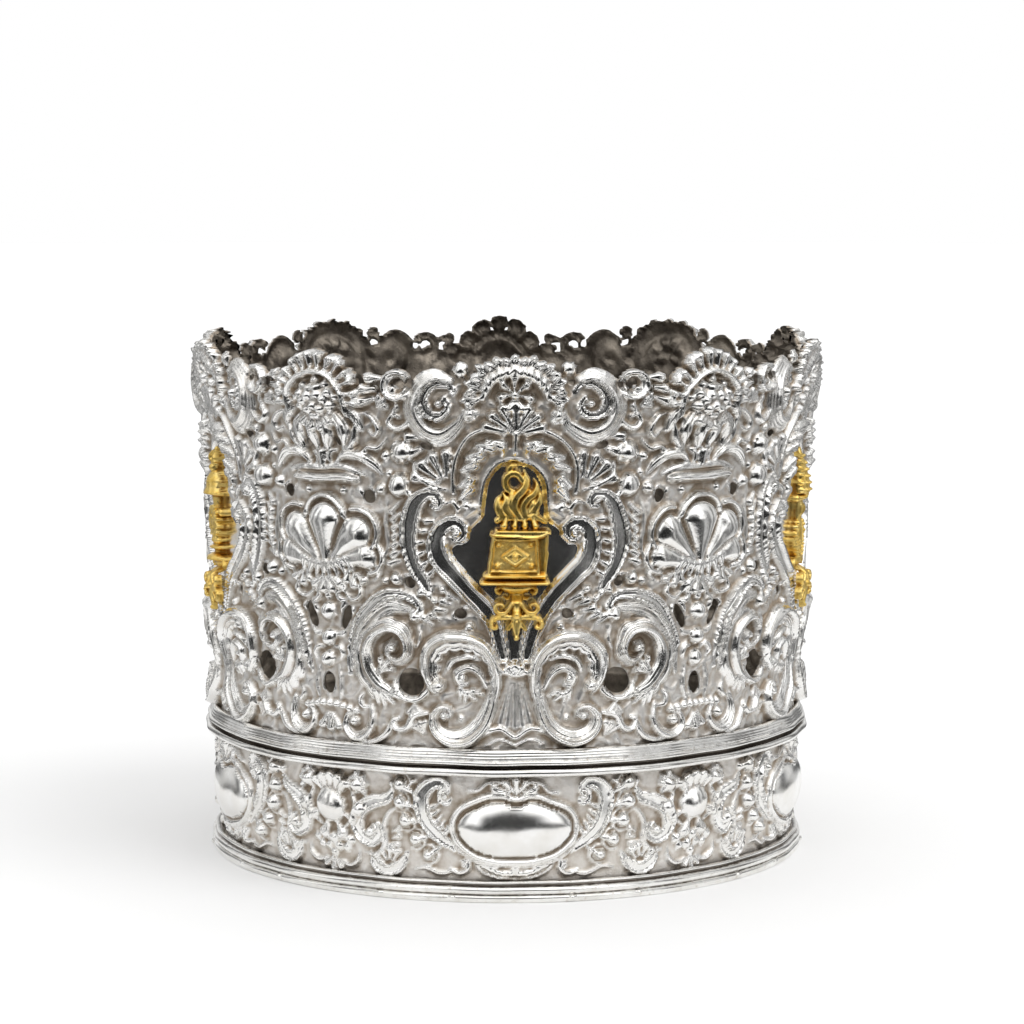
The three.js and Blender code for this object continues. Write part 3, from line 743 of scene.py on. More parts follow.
def chased_silver():
    """Chased silver. Raised work is polished and holds chased lines, the ground between is matted with a fine
    punch, plates and channels are smooth, the hollows are toned brown, and the inside is dull and
    oxidised."""
    polished, polished_worn = (0.95, 0.945, 0.93, 1), (0.86, 0.845, 0.81, 1)
    matted, matted_worn = (0.86, 0.835, 0.80, 1), (0.76, 0.72, 0.665, 1)
    tone = (0.40, 0.32, 0.235, 1)
    oxide, oxide_dark = (0.34, 0.30, 0.25, 1), (0.10, 0.085, 0.07, 1)
    n = Nodes("chased_silver")
    matt = n.value("matt")
    edge = n.span(n.noise(1.3, 3.0), 0.3, 0.7, -0.12, 0.12)
    ground = n.span(n.math("ADD", matt, edge), 0.15, 0.85)
    cloud = n.span(n.noise(7.0, 4.0, 0.6), 0.35, 0.68)
    bright = n.mix(cloud, polished, polished_worn)
    dull = n.mix(cloud, matted, matted_worn)
    colour = n.mix(ground, bright, dull)
    drift = n.span(n.noise(3.0, 4.0, 0.6), 0.3, 0.7, -0.16, 0.2)
    toned = n.span(n.math("ADD", n.value("hollow"), drift), 0.05, 0.75, 0.0, 0.85)
    plate = n.span(matt, -0.7, -0.3)
    chased = n.math("MULTIPLY", n.math("COSINE", n.math("MULTIPLY", n.value("lines"), TURN)), 0.5)
    chased = n.math("SUBTRACT", 0.5, chased)
    toned = n.math("MAXIMUM", toned, n.span(chased, 0.75, 0.0, -0.1, 0.0))
    toned = n.math("MULTIPLY", toned, plate)
    colour = n.mix(toned, colour, tone)
    colour = n.mix(n.span(n.value("inside"), 0.4, 0.6), colour, n.mix(cloud, oxide, oxide_dark))
    rough = n.span(ground, 0, 1, 0.17, 0.52)
    rough = n.math("ADD", rough, n.span(n.noise(0.9, 4.0, 0.7), 0.3, 0.7, -0.03, 0.07))
    rough = n.math("ADD", rough, n.math("MULTIPLY", toned, 0.22))
    punch = n.add("ShaderNodeTexVoronoi", {"Vector": n.place, "Scale": 1 / (0.75 * MM)}).outputs["Distance"]
    punch = n.math("MULTIPLY", n.span(punch, 0.1, 0.55), ground)
    normal = n.bump(punch, 0.55, 0.1)
    normal = n.bump(chased, 0.6, 0.1, normal)
    normal = n.bump(n.math("MULTIPLY", n.noise(1.1, 3.0, 0.6), plate), 0.45, 0.16, normal)
    return n.finish(Base_Color=colour, Metallic=1.0, Roughness=rough, Normal=normal)


CHASED_SILVER = chased_silver()


def no_edge(fold, u):
    """The lower band has no cut edge: its sheet could run on past its top."""
    past_the_top = 60
    return 0 * u + past_the_top


# rows lie close where the band shows, and wide apart behind the mouldings
hidden_foot, shown_low, shown_high, hidden_top = 1.5, 5.4, 39.4, 42.6
below = [hidden_foot, (hidden_foot + shown_low) / 2]
above = [(shown_high + hidden_top) / 2, hidden_top]
lower_heights = np.concatenate([below, np.linspace(shown_low, shown_high, 61), above])
lower_band, = chased_sheet(["lower_band_fine"], lower_layout, lower_heights, no_edge, seed=21, swell=0.25,
                           sprays=0.3)
belongs(lower_band, CHASED_SILVER, "lower_band")

# ---- Joint moulding ----
# A cast silver moulding outside the joint of the two bands: a bright half-round bead below, a deep polished
# groove, and a threaded cove above. It is soldered on, and knocks have left it a little wavy.
THREADS = 3
THREAD_RISE = 0.13
thread_steps = 6 * THREADS + 1
thread_height = np.linspace(43.9, 46.3, thread_steps)
thread = np.abs(np.sin(np.pi * THREADS * np.linspace(0, 1, thread_steps)))
thread_radius = np.linspace(96.9, 96.0, thread_steps) + THREAD_RISE * thread
JOINT_PROFILE = np.vstack([
    [[94.2, 38.7], [95.6, 38.7], [96.6, 38.65]],
    arc((97.1, 39.85), 1.2, -95, 75, 12),
    [[96.6, 41.0], [95.7, 41.1], [95.4, 41.5], [95.5, 41.8], [96.4, 42.0]],
    arc((96.9, 42.75), 0.75, -80, 80, 8),
    [[96.8, 43.65]],
    np.column_stack([thread_radius, thread_height]),
    [[95.6, 46.75], [95.0, 46.9], [94.2, 46.85], [94.2, 44.0], [94.2, 41.0]],
])
joint_moulding = moulding("joint_moulding_fine", JOINT_PROFILE, columns=330, dent=0.22)
belongs(joint_moulding, PLAIN_SILVER, "joint_moulding")

# ---- Upper band ----
# Sheet silver raised and chased like the lower band, then pierced and cut out round its crest of scrolls,
# palmettes and flowers. In each bay is a pear-shaped cartouche with a polished plate, and at the bay's edge a
# flower stands over a shell. It is one ring, made here as the five bays, which meet on the columns.


def cartouche(r):
    """The polished plate, its moulded frame, the leaf rope over the arch and the scroll beside it."""
    border_height, bevel = 0.7, 0.6
    plate = [(-2, 133.6), (0, 133.6), (4.9, 132), (8, 127.9), (9.1, 122), (9.6, 117), (12.6, 114),
             (16.4, 110.6), (19.6, 107.6), (18.8, 103.6), (14.2, 99), (9.8, 93.6), (6.2, 87.6), (3, 80),
             (1.5, 73), (-2, 73)]
    border = spline([(-2, 138.6), (0, 138.6), (7, 137.4), (12.6, 133.6), (15.4, 127), (16.2, 119),
                     (18.4, 116.4), (21, 112), (21.6, 106), (18, 99), (12, 91), (6.6, 80), (4.2, 72),
                     (-2, 72)])
    r.plate(border, border_height, 0.5, 0.6)
    line = spline(plate[1:-1])
    line = np.vstack([[-2, 134], line, [-2, 73]])
    at = r.near(line, 0.5)
    off = follow(r.u[at], r.z[at], line)[1]
    r.matt[at[off < 0]] = MIRROR
    r.height[at] = np.minimum(r.height[at], np.clip(off, 0, bevel) / bevel * border_height)
    r.band([(-1, 134.6), (0, 134.6), (5.3, 133), (8.9, 128.4), (10, 122), (10.5, 117.2)], 1.6, 1.3,
           ends=(1, 1), matt=0.3)
    r.drop((12, 119.4), (14.6, 117.2), (1.9, 0.9), 2.1, matt=0.5)
    path = [(19, 111.4), (17.6, 110.2), (15.7, 111.5), (16, 114.1), (19, 115.4), (22.6, 112.8), (23.4, 108),
            (21.6, 103), (17.8, 98.9), (13.3, 94.4), (8.9, 89), (5.4, 82.6), (3.4, 74.6)]
    r.band(path, [1.6, 2.2, 2.8, 3.4, 4.4, 5.6, 6, 6, 5.8, 5.4, 5.2, 4.8, 4], 3.4, ends=(0.8, 0.6),
           channel=True, matt=0.1)
    r.bead(17.9, 111.9, 1.3, 2.9)
    r.row([(25.4, 117.4), (27.2, 111.4), (26.6, 105), (24, 99.4)], 6, 1.2, (0.6, 1.2), 2.1, lean=0.5,
          groove=0.2)
    path = [(24.8, 120.6), (23.5, 119.9), (22.4, 121), (23.2, 123.2), (26.4, 123.7), (29.8, 120.8),
            (31.8, 115), (32, 108.6), (30.2, 102.2), (27.6, 97.6), (26.2, 94.6)]
    r.band(path, [1.6, 2, 2.6, 3.2, 4, 5, 5.4, 5.2, 4.8, 4, 2.6], 3.6, ends=(0.7, 0.5), channel=True,
           matt=0.1)
    r.bead(24.3, 121.6, 1.0, 2.6)
    r.bead(28.7, 94.2, 1.5, 2.2)
    r.bead(26.2, 93, 1.1, 1.6)
    r.band([(13.6, 121), (14.3, 126), (13.8, 131.2), (11.6, 135.2), (8, 138.2), (3.6, 139.6)],
           [3.4, 4.6, 4.8, 4.8, 4.6, 3.4], 2.2, ends=(0.6, 0.7), flutes=2, matt=0.3)
    rope = spline([(13.8, 122.4), (14.3, 126), (13.8, 131.2), (11.6, 135.2), (8, 138.2), (4.4, 139.4)])
    leaves, arch_foot = 6, 122
    for k in range(leaves):
        u, z = rope[round((k + 0.5) / leaves * (len(rope) - 1))]
        away = np.array([u, z - arch_foot]) / np.hypot(u, z - arch_foot)
        along = np.array([-away[1], away[0]])
        root, tip = [np.add((u, z), a * along + b * away) for a, b in ((-1.7, 1.5), (1.5, -1.1))]
        r.drop(root, tip, (0.9, 1.75), 4.2, groove=0.3, matt=0.05)
        r.drop(root + 1.1 * along, tip + 0.9 * away + 0.9 * along, (0.6, 1.1), 4.6, matt=0)
    r.bead(14.2, 120.2, 1.6, 2.5)
    r.band([(18.2, 124), (18.4, 130), (16.8, 136), (13, 141), (8, 143.2), (3.4, 142)], 1.9, 2.5,
           ends=(0.4, 0.6), matt=0.2)
    r.band([(4.2, 135), (3.6, 137), (4.6, 138.8)], 1.6, 2.3, matt=0.2)
    r.drop((0, 136.6), (0, 142.4), (0.8, 1.3), 2.4, matt=0.1)


def crest(r):
    """Palmette, hood and flower over the arch, curled leaves on the hood, and the great scroll beside
    them."""
    r.fan((0, 142.4), 7, 78, (1.2, 8.2), (0.6, 1.75), 3.1, groove=0.25)
    r.band([(-3, 160.4), (0, 160.9), (4.4, 160.1), (7.8, 157.4), (9.7, 152.6)], [4.8, 4.8, 4.6, 4.2, 2.6],
           4.4, ends=(0.9, 0.5), ribs=2.1, lean=0.6, depth=0.3, matt=0.15)
    r.fan((0, 154), 7, 155, (1.6, 4.4), (0.7, 1.6), 3.3, groove=0.3)
    r.bead(0, 154, 1.9, 4.3)
    for u, z, turn, size in [(0, 163, 0, 2.6), (4.8, 162.5, 24, 2.5), (9, 160.4, 48, 2.5),
                             (12, 156.8, 74, 2.3), (13.2, 152.2, 98, 2.0)]:
        a = np.radians(turn)
        out, side = np.array([np.sin(a), np.cos(a)]), np.array([np.cos(a), -np.sin(a)])
        base, tip = np.array([u, z]) - 2.6 * out, np.array([u, z]) + 1.4 * out
        for lean, reach in ((-0.9, 0.7), (0.9, 0.7), (0, 1)):
            end = base + reach * (tip - base) + lean * size * side
            r.drop(base + 0.4 * lean * side, end, (0.7, 0.62 * size), 2.9 + reach, groove=0.45, matt=0.1)
            r.bead(*(end + 0.3 * size * out), 0.4 * size, 3.4 + reach, matt=0)
    r.bead(15.6, 161.2, 1.8, 2.3, ring=0.5)
    r.bead(12.9, 147.6, 1.7, 2.6, ring=0.9)
    path = [(14.6, 147.4), (16.2, 144), (21.6, 140.8), (27.4, 143), (30.2, 149.6), (28.4, 156.2),
            (23.4, 159.6), (18.6, 158.2)]
    r.band(path, [2, 4, 6, 6.2, 5.4, 5, 4.4, 2.6], 4, ends=(0.4, 0.6), roll=1, flutes=2, depth=0.2, matt=0.3)
    path = [(17.4, 154.2), (19.6, 157), (24, 156.6), (26.6, 152.6), (25.2, 148.2), (21.4, 147.2),
            (19.2, 149.8), (20.6, 152.6)]
    r.band(path, [1.6, 2.4, 3, 3.3, 3.1, 2.6, 2, 1.3], 3.7, ends=(0.5, 0.6), channel=True, matt=0.1)
    r.bead(21.9, 151.2, 1.5, 3.4)
    r.band(arc((34.8, 156), 3.4, -170, 150), 2.9, 4, ends=(0.8, 0.8), roll=-1, matt=0.1)
    r.bead(36, 154.8, 1.3, 2.6)
    r.band([(30.4, 148.4), (31.4, 145), (34.6, 143), (37.2, 144.8), (36.1, 147.2), (34, 146.4)],
           [1, 1.8, 2.2, 2.2, 1.8, 1.2], 2.5, matt=0.15)
    r.bead(33.8, 135.8, 3.1, 3.6, ring=0.7)
    r.bead(34.6, 126.2, 3.7, 4.2)
    r.bead(31.3, 123.9, 1.4, 2)
    r.bead(41.2, 125, 1.9, 2.3)
    r.bead(38.6, 129.6, 1.1, 1.5)
    r.fan((20.4, 126.6), 4, 40, (2.2, 9.2), (0.6, 1.9), 2.6, turn=38, groove=0.3, matt=0.2)
    r.fan((21, 141), 3, 26, (6.2, 10.8), (0.7, 1.6), 2.2, turn=118, groove=0.3, matt=0.2)
    r.band([(20.4, 125), (24.4, 126.4), (29, 129.6), (29.8, 132.8), (27.6, 133.2)], [1, 1.7, 1.9, 1.6, 1],
           2.1, matt=0.2)
    r.row([(36.8, 120.6), (35.6, 114), (35.6, 107), (37.2, 101.4)], 7, 1.4, (0.6, 1.3), 2.3, lean=1,
          groove=0.3, matt=0.2)
    r.band([(39.2, 120.4), (39.8, 115), (39, 108), (40.4, 103)], [1, 1.5, 1.5, 1], 1.4, matt=0.4)
    r.row([(40.8, 159.6), (43.4, 155), (44.6, 149.8)], 3, 1.5, (0.9, 1.8), 3.1, lean=0.8, groove=0.2,
          matt=0.1)
    r.band([(46.4, 147.6), (43.2, 146.4), (40.8, 143), (42.2, 140.8), (44.4, 142)], [1, 1.8, 2, 1.8, 1.2],
           2.4, matt=0.2)
    r.band([(38.6, 139.6), (41.4, 137), (44.8, 137.4), (48.4, 134.4)], [1, 1.8, 2, 1.2], 2.1, matt=0.2)
    r.bead(39.4, 134.6, 1.5, 1.9)
    r.fan((41.6, 149.4), 3, 34, (0.4, 3.4), (0.5, 1.2), 1.9, turn=-50, groove=0.2)


def flower_column(r):
    """A flower over a plinth, the shell, a garland of leaves and the beads below them."""
    c = COLUMN
    r.fan((c, 151.5), 7, 90, (7.6, 12), (1.5, 3.0), 4.8, groove=0.5)
    r.fan((c, 151.5), 14, 96, (9, 13.4), (0.8, 1.3), 5.6, groove=0.2, matt=0.05)
    r.band([(c - 10.2, 146.4), (c - 9.6, 153), (c - 5.6, 158), (c, 159.6), (c + 5, 158)], 2.2, 5.8,
           ends=(0.6, 1), matt=0.1)
    r.seeds(c, 151.6, 8.4, 6.6, 4.2, 1.6, 1.8)
    r.band([(c - 1.2, 148), (c - 2.6, 142), (c - 1.8, 136.6)], [3.4, 5, 2.6], 4.4, flutes=3, depth=0.25,
           matt=0.15)
    r.band([(c - 4.4, 148), (c - 8, 143), (c - 7.4, 136.8)], [3.4, 5, 2.4], 4.2, flutes=3, depth=0.25,
           matt=0.15)
    r.band([(c - 7, 149.6), (c - 11.4, 147), (c - 13.4, 142.4)], [3, 4.6, 2], 3.8, flutes=3, depth=0.25,
           matt=0.15)
    r.fan((c, 149), 4, 44, (2, 6.2), (0.9, 2.0), 5.2, turn=180, groove=0.3, matt=0.1)
    r.band([(c - 13.4, 147.4), (c - 11.8, 143.6), (c - 10.6, 138.6), (c - 6.6, 135)], [1, 2, 2.4, 1.6], 2.8,
           matt=0.15)
    slab = np.array([(c - 12.6, 126.4), (c - 11, 125.4), (c + 3, 125.3), (c + 3, 129.4), (c - 10.4, 129.5),
                     (c - 12.8, 128.2)])
    r.plate(slab, 3.4, 1.5, -0.2)
    r.band([(c - 14.4, 129), (c - 8, 130.6), (c, 130.6), (c + 3, 130.6)], [1.4, 2.6, 2, 2], 2.6,
           ends=(0.4, 1), flutes=1, matt=0.2)
    r.band([(c - 4, 131), (c - 8, 134.6), (c - 13, 135), (c - 17, 132.6), (c - 19.4, 129.6)],
           [1.2, 3.4, 4, 3.4, 1.4], 3.4, ends=(0.5, 0.4), flutes=2, lean=0.4, matt=0.15)
    r.drop((c, 131.6), (c, 135), (1.3, 1.7), 3.2, matt=0)
    r.band([(c - 12, 124.2), (c - 15, 121.6), (c - 16.9, 123.4), (c - 15.4, 125.2)], 1.7, 2, matt=0.2)
    r.drop((c - 5, 101.6), (c - 13.6, 104), (1.8, 4.3), 3.2, matt=-0.4)
    r.drop((c - 3, 103), (c - 10.8, 111.2), (1.8, 5.4), 3.8, matt=-0.4)
    r.drop((c, 103), (c, 114.4), (1.8, 6.0), 4.4, matt=-0.4)
    r.band(arc((c, 114.9), 7.2, 170, 10), 2.2, 3.4, ends=(0.8, 0.8), matt=0.1)
    r.band(arc((c - 11.2, 111.8), 6.8, 235, 75), 2.1, 2.9, ends=(0.7, 0.7), matt=0.1)
    r.band(arc((c - 14, 104), 5.4, 265, 120), 1.8, 2.4, ends=(0.6, 0.6), matt=0.1)
    r.row([(c - 9.4, 101.4), (c - 4, 99.6), (c, 99.4), (c + 3, 99.5)], 5, 1.7, (0.9, 1.7), 3.2, lean=0.3,
          groove=0.25)
    r.bead(c - 4.5, 94.6, 1.4, 2.7, ring=1)
    r.fan((c, 98), 4, 56, (1.4, 5), (0.8, 1.7), 3.1, turn=180, groove=0.25)
    r.row([(c - 6.6, 98.6), (c - 9.8, 96.6), (c - 12.8, 98)], 3, 1.4, (0.7, 1.6), 2.6, lean=0.5, groove=0.2)
    r.band([(c - 6, 92.6), (c - 9, 90.8), (c - 12.2, 92.2), (c - 11.6, 94.8), (c - 9.6, 94)],
           [1, 1.6, 1.8, 1.6, 1], 2.2, matt=0.15)
    r.band([(c - 13, 99.6), (c - 16.6, 101.8), (c - 18.2, 99), (c - 16.4, 96.6)], [1, 1.6, 1.6, 1], 1.8,
           matt=0.2)
    r.bead(c - 15.6, 99, 1.1, 1.6)
    for z, radius in [(86.5, 2.8), (78.6, 2.7), (72.1, 2.6)]:
        r.bead(c, z, radius, 1.1 * radius)
    r.bead(c, 91, 1.3, 1.8)
    r.band([(c - 3.6, 70), (c - 4.8, 64), (c - 3.6, 58.6)], [1, 1.7, 1], 1.6, matt=0.3)


def scrollwork(r):
    """The great acanthus scrolls along the foot of the band, with their leaves, and the ogee at the
    middle."""
    c = COLUMN
    r.band([(33, 88.6), (39, 88.8), (44.4, 85.4), (47.9, 80.2), (49.6, 74), (49.8, 68)], [4, 7, 8, 7, 5, 3],
           2.6, ends=(0.5, 0.3), flutes=3, lean=0.4, depth=0.3, matt=0.3)
    path = [(31.2, 88.2), (29.9, 87), (28.9, 89), (31, 91.8), (35, 93.2), (39.4, 92.8), (44, 90),
            (47.9, 85.4), (50.6, 79.8), (52, 74.6), (52.6, 68)]
    r.band(path, [1.4, 1.6, 2.2, 2.6, 3, 3.4, 3.6, 3.4, 3, 2.4, 1.6], 4, ends=(0.5, 0.3), channel=True,
           matt=0.1)
    r.bead(30.7, 86.4, 2, 3)
    r.band([(39.6, 62.6), (43.8, 64.6), (46.9, 69.6), (47.3, 75.6), (44.6, 80.8), (39.6, 83.4), (34.6, 82.2),
            (32.2, 78), (33.4, 73.9), (37, 72.6), (39.8, 74.9), (39, 78), (36.9, 78.2)],
           [5, 8, 7.8, 7.2, 6.4, 5.2, 4.2, 3.6, 3.2, 3, 2.6, 2, 1.3], 5, ends=(0.5, 0.6), flutes=3, lean=0.6,
           roll=1, depth=0.34, tips=9, matt=0.15)
    r.bead(37.5, 76.5, 1.5, 3.6)
    r.row([(36.4, 62.8), (39.6, 60.8), (44, 61.8)], 4, 1.6, (0.7, 1.4), 2.4, lean=0.6, groove=0.3)
    r.fan((42.4, 68.4), 3, 30, (0.6, 4.6), (0.5, 1.2), 3.2, turn=-40, groove=0.3, matt=0.2)
    r.band([(7.4, 60), (6.3, 66), (6.6, 72.4), (9.8, 77.4), (15.2, 79.6), (21, 79), (25, 75), (25.6, 69.4),
            (23.8, 65)], [3, 4, 5, 6.4, 7.4, 7.4, 7, 6, 4], 5, ends=(0.5, 0.6), flutes=4, lean=0.5, roll=1,
           depth=0.36, tips=11, matt=0.15)
    r.bead(23, 65.8, 2, 3.6)
    r.band([(8.8, 65.4), (11, 70), (14.4, 71.8), (17.6, 70), (17.2, 67), (14.8, 66.4)],
           [1.6, 2.8, 3.4, 3.2, 2.6, 1.6], 3.4, flutes=2, matt=0.15)
    r.band([(10.6, 74), (14.4, 75.2), (18.6, 74), (20.6, 70.8)], [1.4, 2.2, 2.4, 1.6], 3, matt=0.15)
    r.band([(12.4, 82.6), (13.7, 84.6), (15.2, 82)], 1.7, 2.4, matt=0.1)
    r.row([(10.6, 64.4), (13.8, 62.4), (17.6, 63.8)], 4, 1.3, (0.6, 1.2), 2.3, lean=0.6, groove=0.3)
    r.bead(16, 68.4, 1.2, 3)
    r.band([(7, 66), (7.8, 60), (10, 54.6), (14, 51), (19.2, 49.8), (23.6, 51.8), (24.9, 55.6), (22.8, 58.8),
            (20, 58.6), (19.4, 56.6)], [3, 4.4, 5.6, 6, 5.8, 5, 4, 3, 2.2, 1.4], 4.6, ends=(0.4, 0.6),
           flutes=3, lean=0.4, roll=-1, depth=0.34, matt=0.15)
    r.bead(21.4, 56.5, 1.6, 3.2)
    r.fan((0, 68.4), 5, 60, (0.6, 3.6), (0.6, 1.4), 2.8, groove=0.2)
    for u in (0, 2.1, 4.2, 6.3):
        r.drop((0.4 * u, 66.8), (1.1 * u, 53.6 + 0.2 * u), (0.3, 1.3), 0.9, matt=0.45)
    r.band([(-3, 52.4), (0, 50.4), (5, 53), (12.6, 50.2), (20, 47.6)], 2.1, 2.2, ends=(0.9, 0.4), matt=0.0)
    r.band([(-3, 49.4), (0, 48), (4.4, 49.6), (9, 48)], 1.2, 1.2, ends=(0.9, 0.4), matt=0.1)
    r.band([(45.4, 58.6), (45, 54.2), (47, 50.4), (51, 49.2), (54.2, 51.6), (53.8, 55), (51.8, 55.6)],
           [2, 3, 3.8, 3.6, 3, 2.4, 1.6], 3.4, flutes=2, roll=-1, matt=0.15)
    r.bead(51.4, 53.7, 1.7, 3)
    for i in range(5):
        r.bead(c - 2.3 * i, 57.8 - 0.06 * i * i, 1.2, 2.1)
    r.fan((c, 56), 3, 30, (1.6, 5.6), (0.7, 1.5), 2.3, turn=180, groove=0.3)
    r.band([(27, 57.2), (31.4, 56.2), (33.6, 52.8), (36.6, 52.2), (38, 54.6), (36.2, 55.4)],
           [1.8, 2.6, 2.6, 2.4, 2, 1.3], 2.7, matt=0.1)
    r.band([(38.4, 53.8), (40.4, 50), (44, 47.8), (50, 46.9)], [2.2, 2.6, 2.2, 1.2], 2.3, matt=0.15)
    r.fan((28.6, 50), 3, 26, (0.6, 4), (0.5, 1.3), 1.7, turn=20, groove=0.2, matt=0.3)
    r.band(arc((32, 66.8), 5.7, 190, 350), 2.1, 2.2, ends=(0.3, 0.3), matt=0.05)
    r.row([(17, 93.4), (20.6, 90.6), (23.4, 87), (27.4, 84.6)], 5, 1.5, (0.6, 1.4), 2.3, lean=0.8,
          groove=0.3, matt=0.2)
    r.bead(21.8, 95, 1.4, 2.1)
    r.bead(36.5, 97.9, 2.1, 2.8)
    r.bead(24.6, 91.6, 1.2, 1.8)
    r.band([(29.6, 83.4), (28.6, 80), (30, 76.6)], [0.9, 1.6, 0.9], 1.5, matt=0.3)
    r.fan((31, 60), 3, 36, (0.4, 3.4), (0.5, 1.1), 1.6, turn=180, matt=0.3)


def small_leaves(r, seed, across, up, count, clear):
    """Small curled leaves and berries scattered in the gaps. Each is laid only where nothing stands within
    reach of its middle, and the sheet's edge isn't near."""
    lowest_form, edge_room, share_of_berries = 0.5, 0.3, 0.3
    chance = np.random.default_rng(seed)
    least, most = [across[0], up[0], 0, 0, 0], [across[1], up[1], TURN, 1, 1]
    for u, z, turn, size, kind in chance.uniform(least, most, (count, 5)):
        at = np.nonzero((np.abs(r.u - u) < clear) & (np.abs(r.z - z) < clear))[0]
        taken = r.height[at].max() > lowest_form or r.matt[at].min() < FLAT_BELOW
        if taken or r.sheet[at].min() < edge_room:
            continue
        if kind < share_of_berries:
            r.bead(u, z, 0.9 + 0.6 * size, 1.3 + 0.6 * size)
            continue
        way, side = np.array([np.cos(turn), np.sin(turn)]), np.array([-np.sin(turn), np.cos(turn)])
        reach = 1.5 + 1.1 * size
        bends = [(-1, 0.5), (-0.2, -0.25), (0.7, 0.1), (0.9, 0.9)]
        curl = [np.add((u, z), reach * (a * way + b * side)) for a, b in bends]
        r.band(curl, [0.8, 1.9, 1.9, 0.9], 1.5 + 0.8 * size, flutes=1, depth=0.25, matt=0.15)


def upper_layout(r):
    """The whole upper band: the cartouche, the scrolls, the crest and the flower's column, small leaves in
    three zones of the gaps, and the holes, [u, z, half across, half up, turn]."""
    cartouche(r)
    scrollwork(r)
    crest(r)
    flower_column(r)
    small_leaves(r, 5, (17, COLUMN), (100, 160), 420, 1.25)
    small_leaves(r, 6, (6, COLUMN), (86, 102), 160, 1.3)
    small_leaves(r, 7, (4, COLUMN), (50, 88), 130, 1.7)
    for hole in [(26.4, 138.2, 2.1, 1.1, 12), (45.2, 122.3, 1.9, 2.1), (32.2, 97, 1.8, 1.7),
                 (16, 87.8, 1.7, 1.6), (32, 66.8, 4.2, 4.3), (COLUMN, 64.4, 2.2, 3.6),
                 (COLUMN - 6.6, 85, 1.7, 4, 22), (COLUMN - 5.5, 138.4, 1.0, 1.4), (31.2, 156.6, 1.0, 1.5)]:
        r.pierce(*hole)


def crest_edge(fold, u):
    """Where the sheet ends between the forms that stand up from it: lowest beside the great scroll."""
    places = [0, 13, 20, 30, 35, 40.5, 46, 54, COLUMN]
    heights = [161, 157, 157, 154, 155, 153.4, 155.6, 159, 160]
    return np.interp(fold, places, heights) + wander(u, 0 * u, 41, amount=0.7, fastest=120)


upper_foot, past_the_crest, upper_rows = 42.9, 167.5, 235
upper_heights = np.linspace(upper_foot, past_the_crest, upper_rows)
bay_names = [f"upper_band_bay_{k + 1}" for k in range(BAYS)]
bays = chased_sheet(bay_names, upper_layout, upper_heights, crest_edge, seed=31, swell=0.25, sprays=0.9)
for piece in bays:
    belongs(piece, CHASED_SILVER, "upper_band")

# ---- Emblems ----
# Five gilt castings, one on the polished plate of each cartouche, held by a pin through the wall. Each stands
# on a scrolled bracket that passes in front of the cartouche's frame. All are cast flat at the back and
# chased.
EMBLEM_PITCH = 0.3
EMBLEM_LOW = 79.0
EMBLEM_ROWS = 187
EMBLEM_HALF = 42
FRAME_CROSSED = (91.5, 94.5)
BACK = -0.3
OVER_FRAME = 3.0
CASTING = 0.9


def gilt_finish():
    """Bright gilding: deep yellow, redder and duller in the hollows, with a fine grain and rubbed high
    points."""
    yellow, deep_yellow, red_brown = (1.0, 0.76, 0.27, 1), (0.93, 0.62, 0.14, 1), (0.34, 0.15, 0.02, 1)
    n = Nodes("gilt")
    cloud = n.span(n.noise(3.0, 3.0, 0.6), 0.35, 0.68)
    colour = n.mix(cloud, yellow, deep_yellow)
    drift = n.span(n.noise(1.2, 4.0, 0.6), 0.3, 0.7, -0.08, 0.1)
    toned = n.span(n.math("ADD", n.value("hollow"), drift), 0.0, 0.55, 0.0, 0.9)
    colour = n.mix(toned, colour, red_brown)
    rough = n.span(n.noise(0.8, 4.0, 0.7), 0.3, 0.7, 0.24, 0.4)
    rough = n.math("ADD", rough, n.math("MULTIPLY", n.span(n.value("matt"), 0.2, 0.9), 0.25))
    grain = n.bump(n.noise(0.5, 3.0, 0.6), 0.6, 0.09)
    return n.finish(Base_Color=colour, Metallic=1.0, Roughness=rough, Normal=grain)


GILT = gilt_finish()


def smooth_step(x, low, high):
    """0 below a low value and 1 above a high one, with a smooth slope between."""
    t = np.clip((x - low) / (high - low), 0, 1)
    return t * t * (3 - 2 * t)


def emblem(node, bay, layout):
    """A casting in the plane of its bay's middle: a layout's rise over a flat back, cut to its outline. The
    back steps forward where the bracket passes the frame."""
    outside = -1.5
    x = EMBLEM_PITCH * np.arange(-EMBLEM_HALF, EMBLEM_HALF)
    z = EMBLEM_LOW + EMBLEM_PITCH * np.arange(EMBLEM_ROWS)
    X, Z = np.meshgrid(x, z)
    relief = Relief(X.ravel(), Z.ravel(), np.full(X.size, outside))
    layout(relief)
    height, matt, sheet = [a.reshape(X.shape) for a in (relief.height, relief.matt, relief.sheet)]
    keep = cell_mean(sheet) > 0
    X, Z = trim(X, Z, sheet, keep)
    height = soften(height, 0.45)
    hollow = soften(height, 2.5) - height
    back = BACK + (OVER_FRAME - BACK) * (1 - smooth_step(Z, *FRAME_CROSSED))
    front = np.maximum(back, 0) + CASTING + height

    def stand(x, z, rise):
        """The wall's radius at each height plus the rise, straight across, turned to the bay's middle."""
        r = np.interp(z, WALL_HEIGHTS, WALL_RADII) + rise
        a = bay * TURN / BAYS
        return np.stack([x * np.cos(a) + r * np.sin(a), x * np.sin(a) - r * np.cos(a), z], -1)

    outer, inner = stand(X, Z, front), stand(X, Z, back)[::2, ::2]
    flat = 0 * inner[..., 0].ravel()
    matt = np.concatenate([matt.ravel(), flat + 0.5])
    hollow = np.concatenate([hollow.ravel(), flat])
    values = {"matt": matt, "hollow": hollow}
    piece = sheet_mesh(f"{node}_fine", outer, inner, keep, 0, keep.shape[1], True, values)
    belongs(piece, GILT, node)


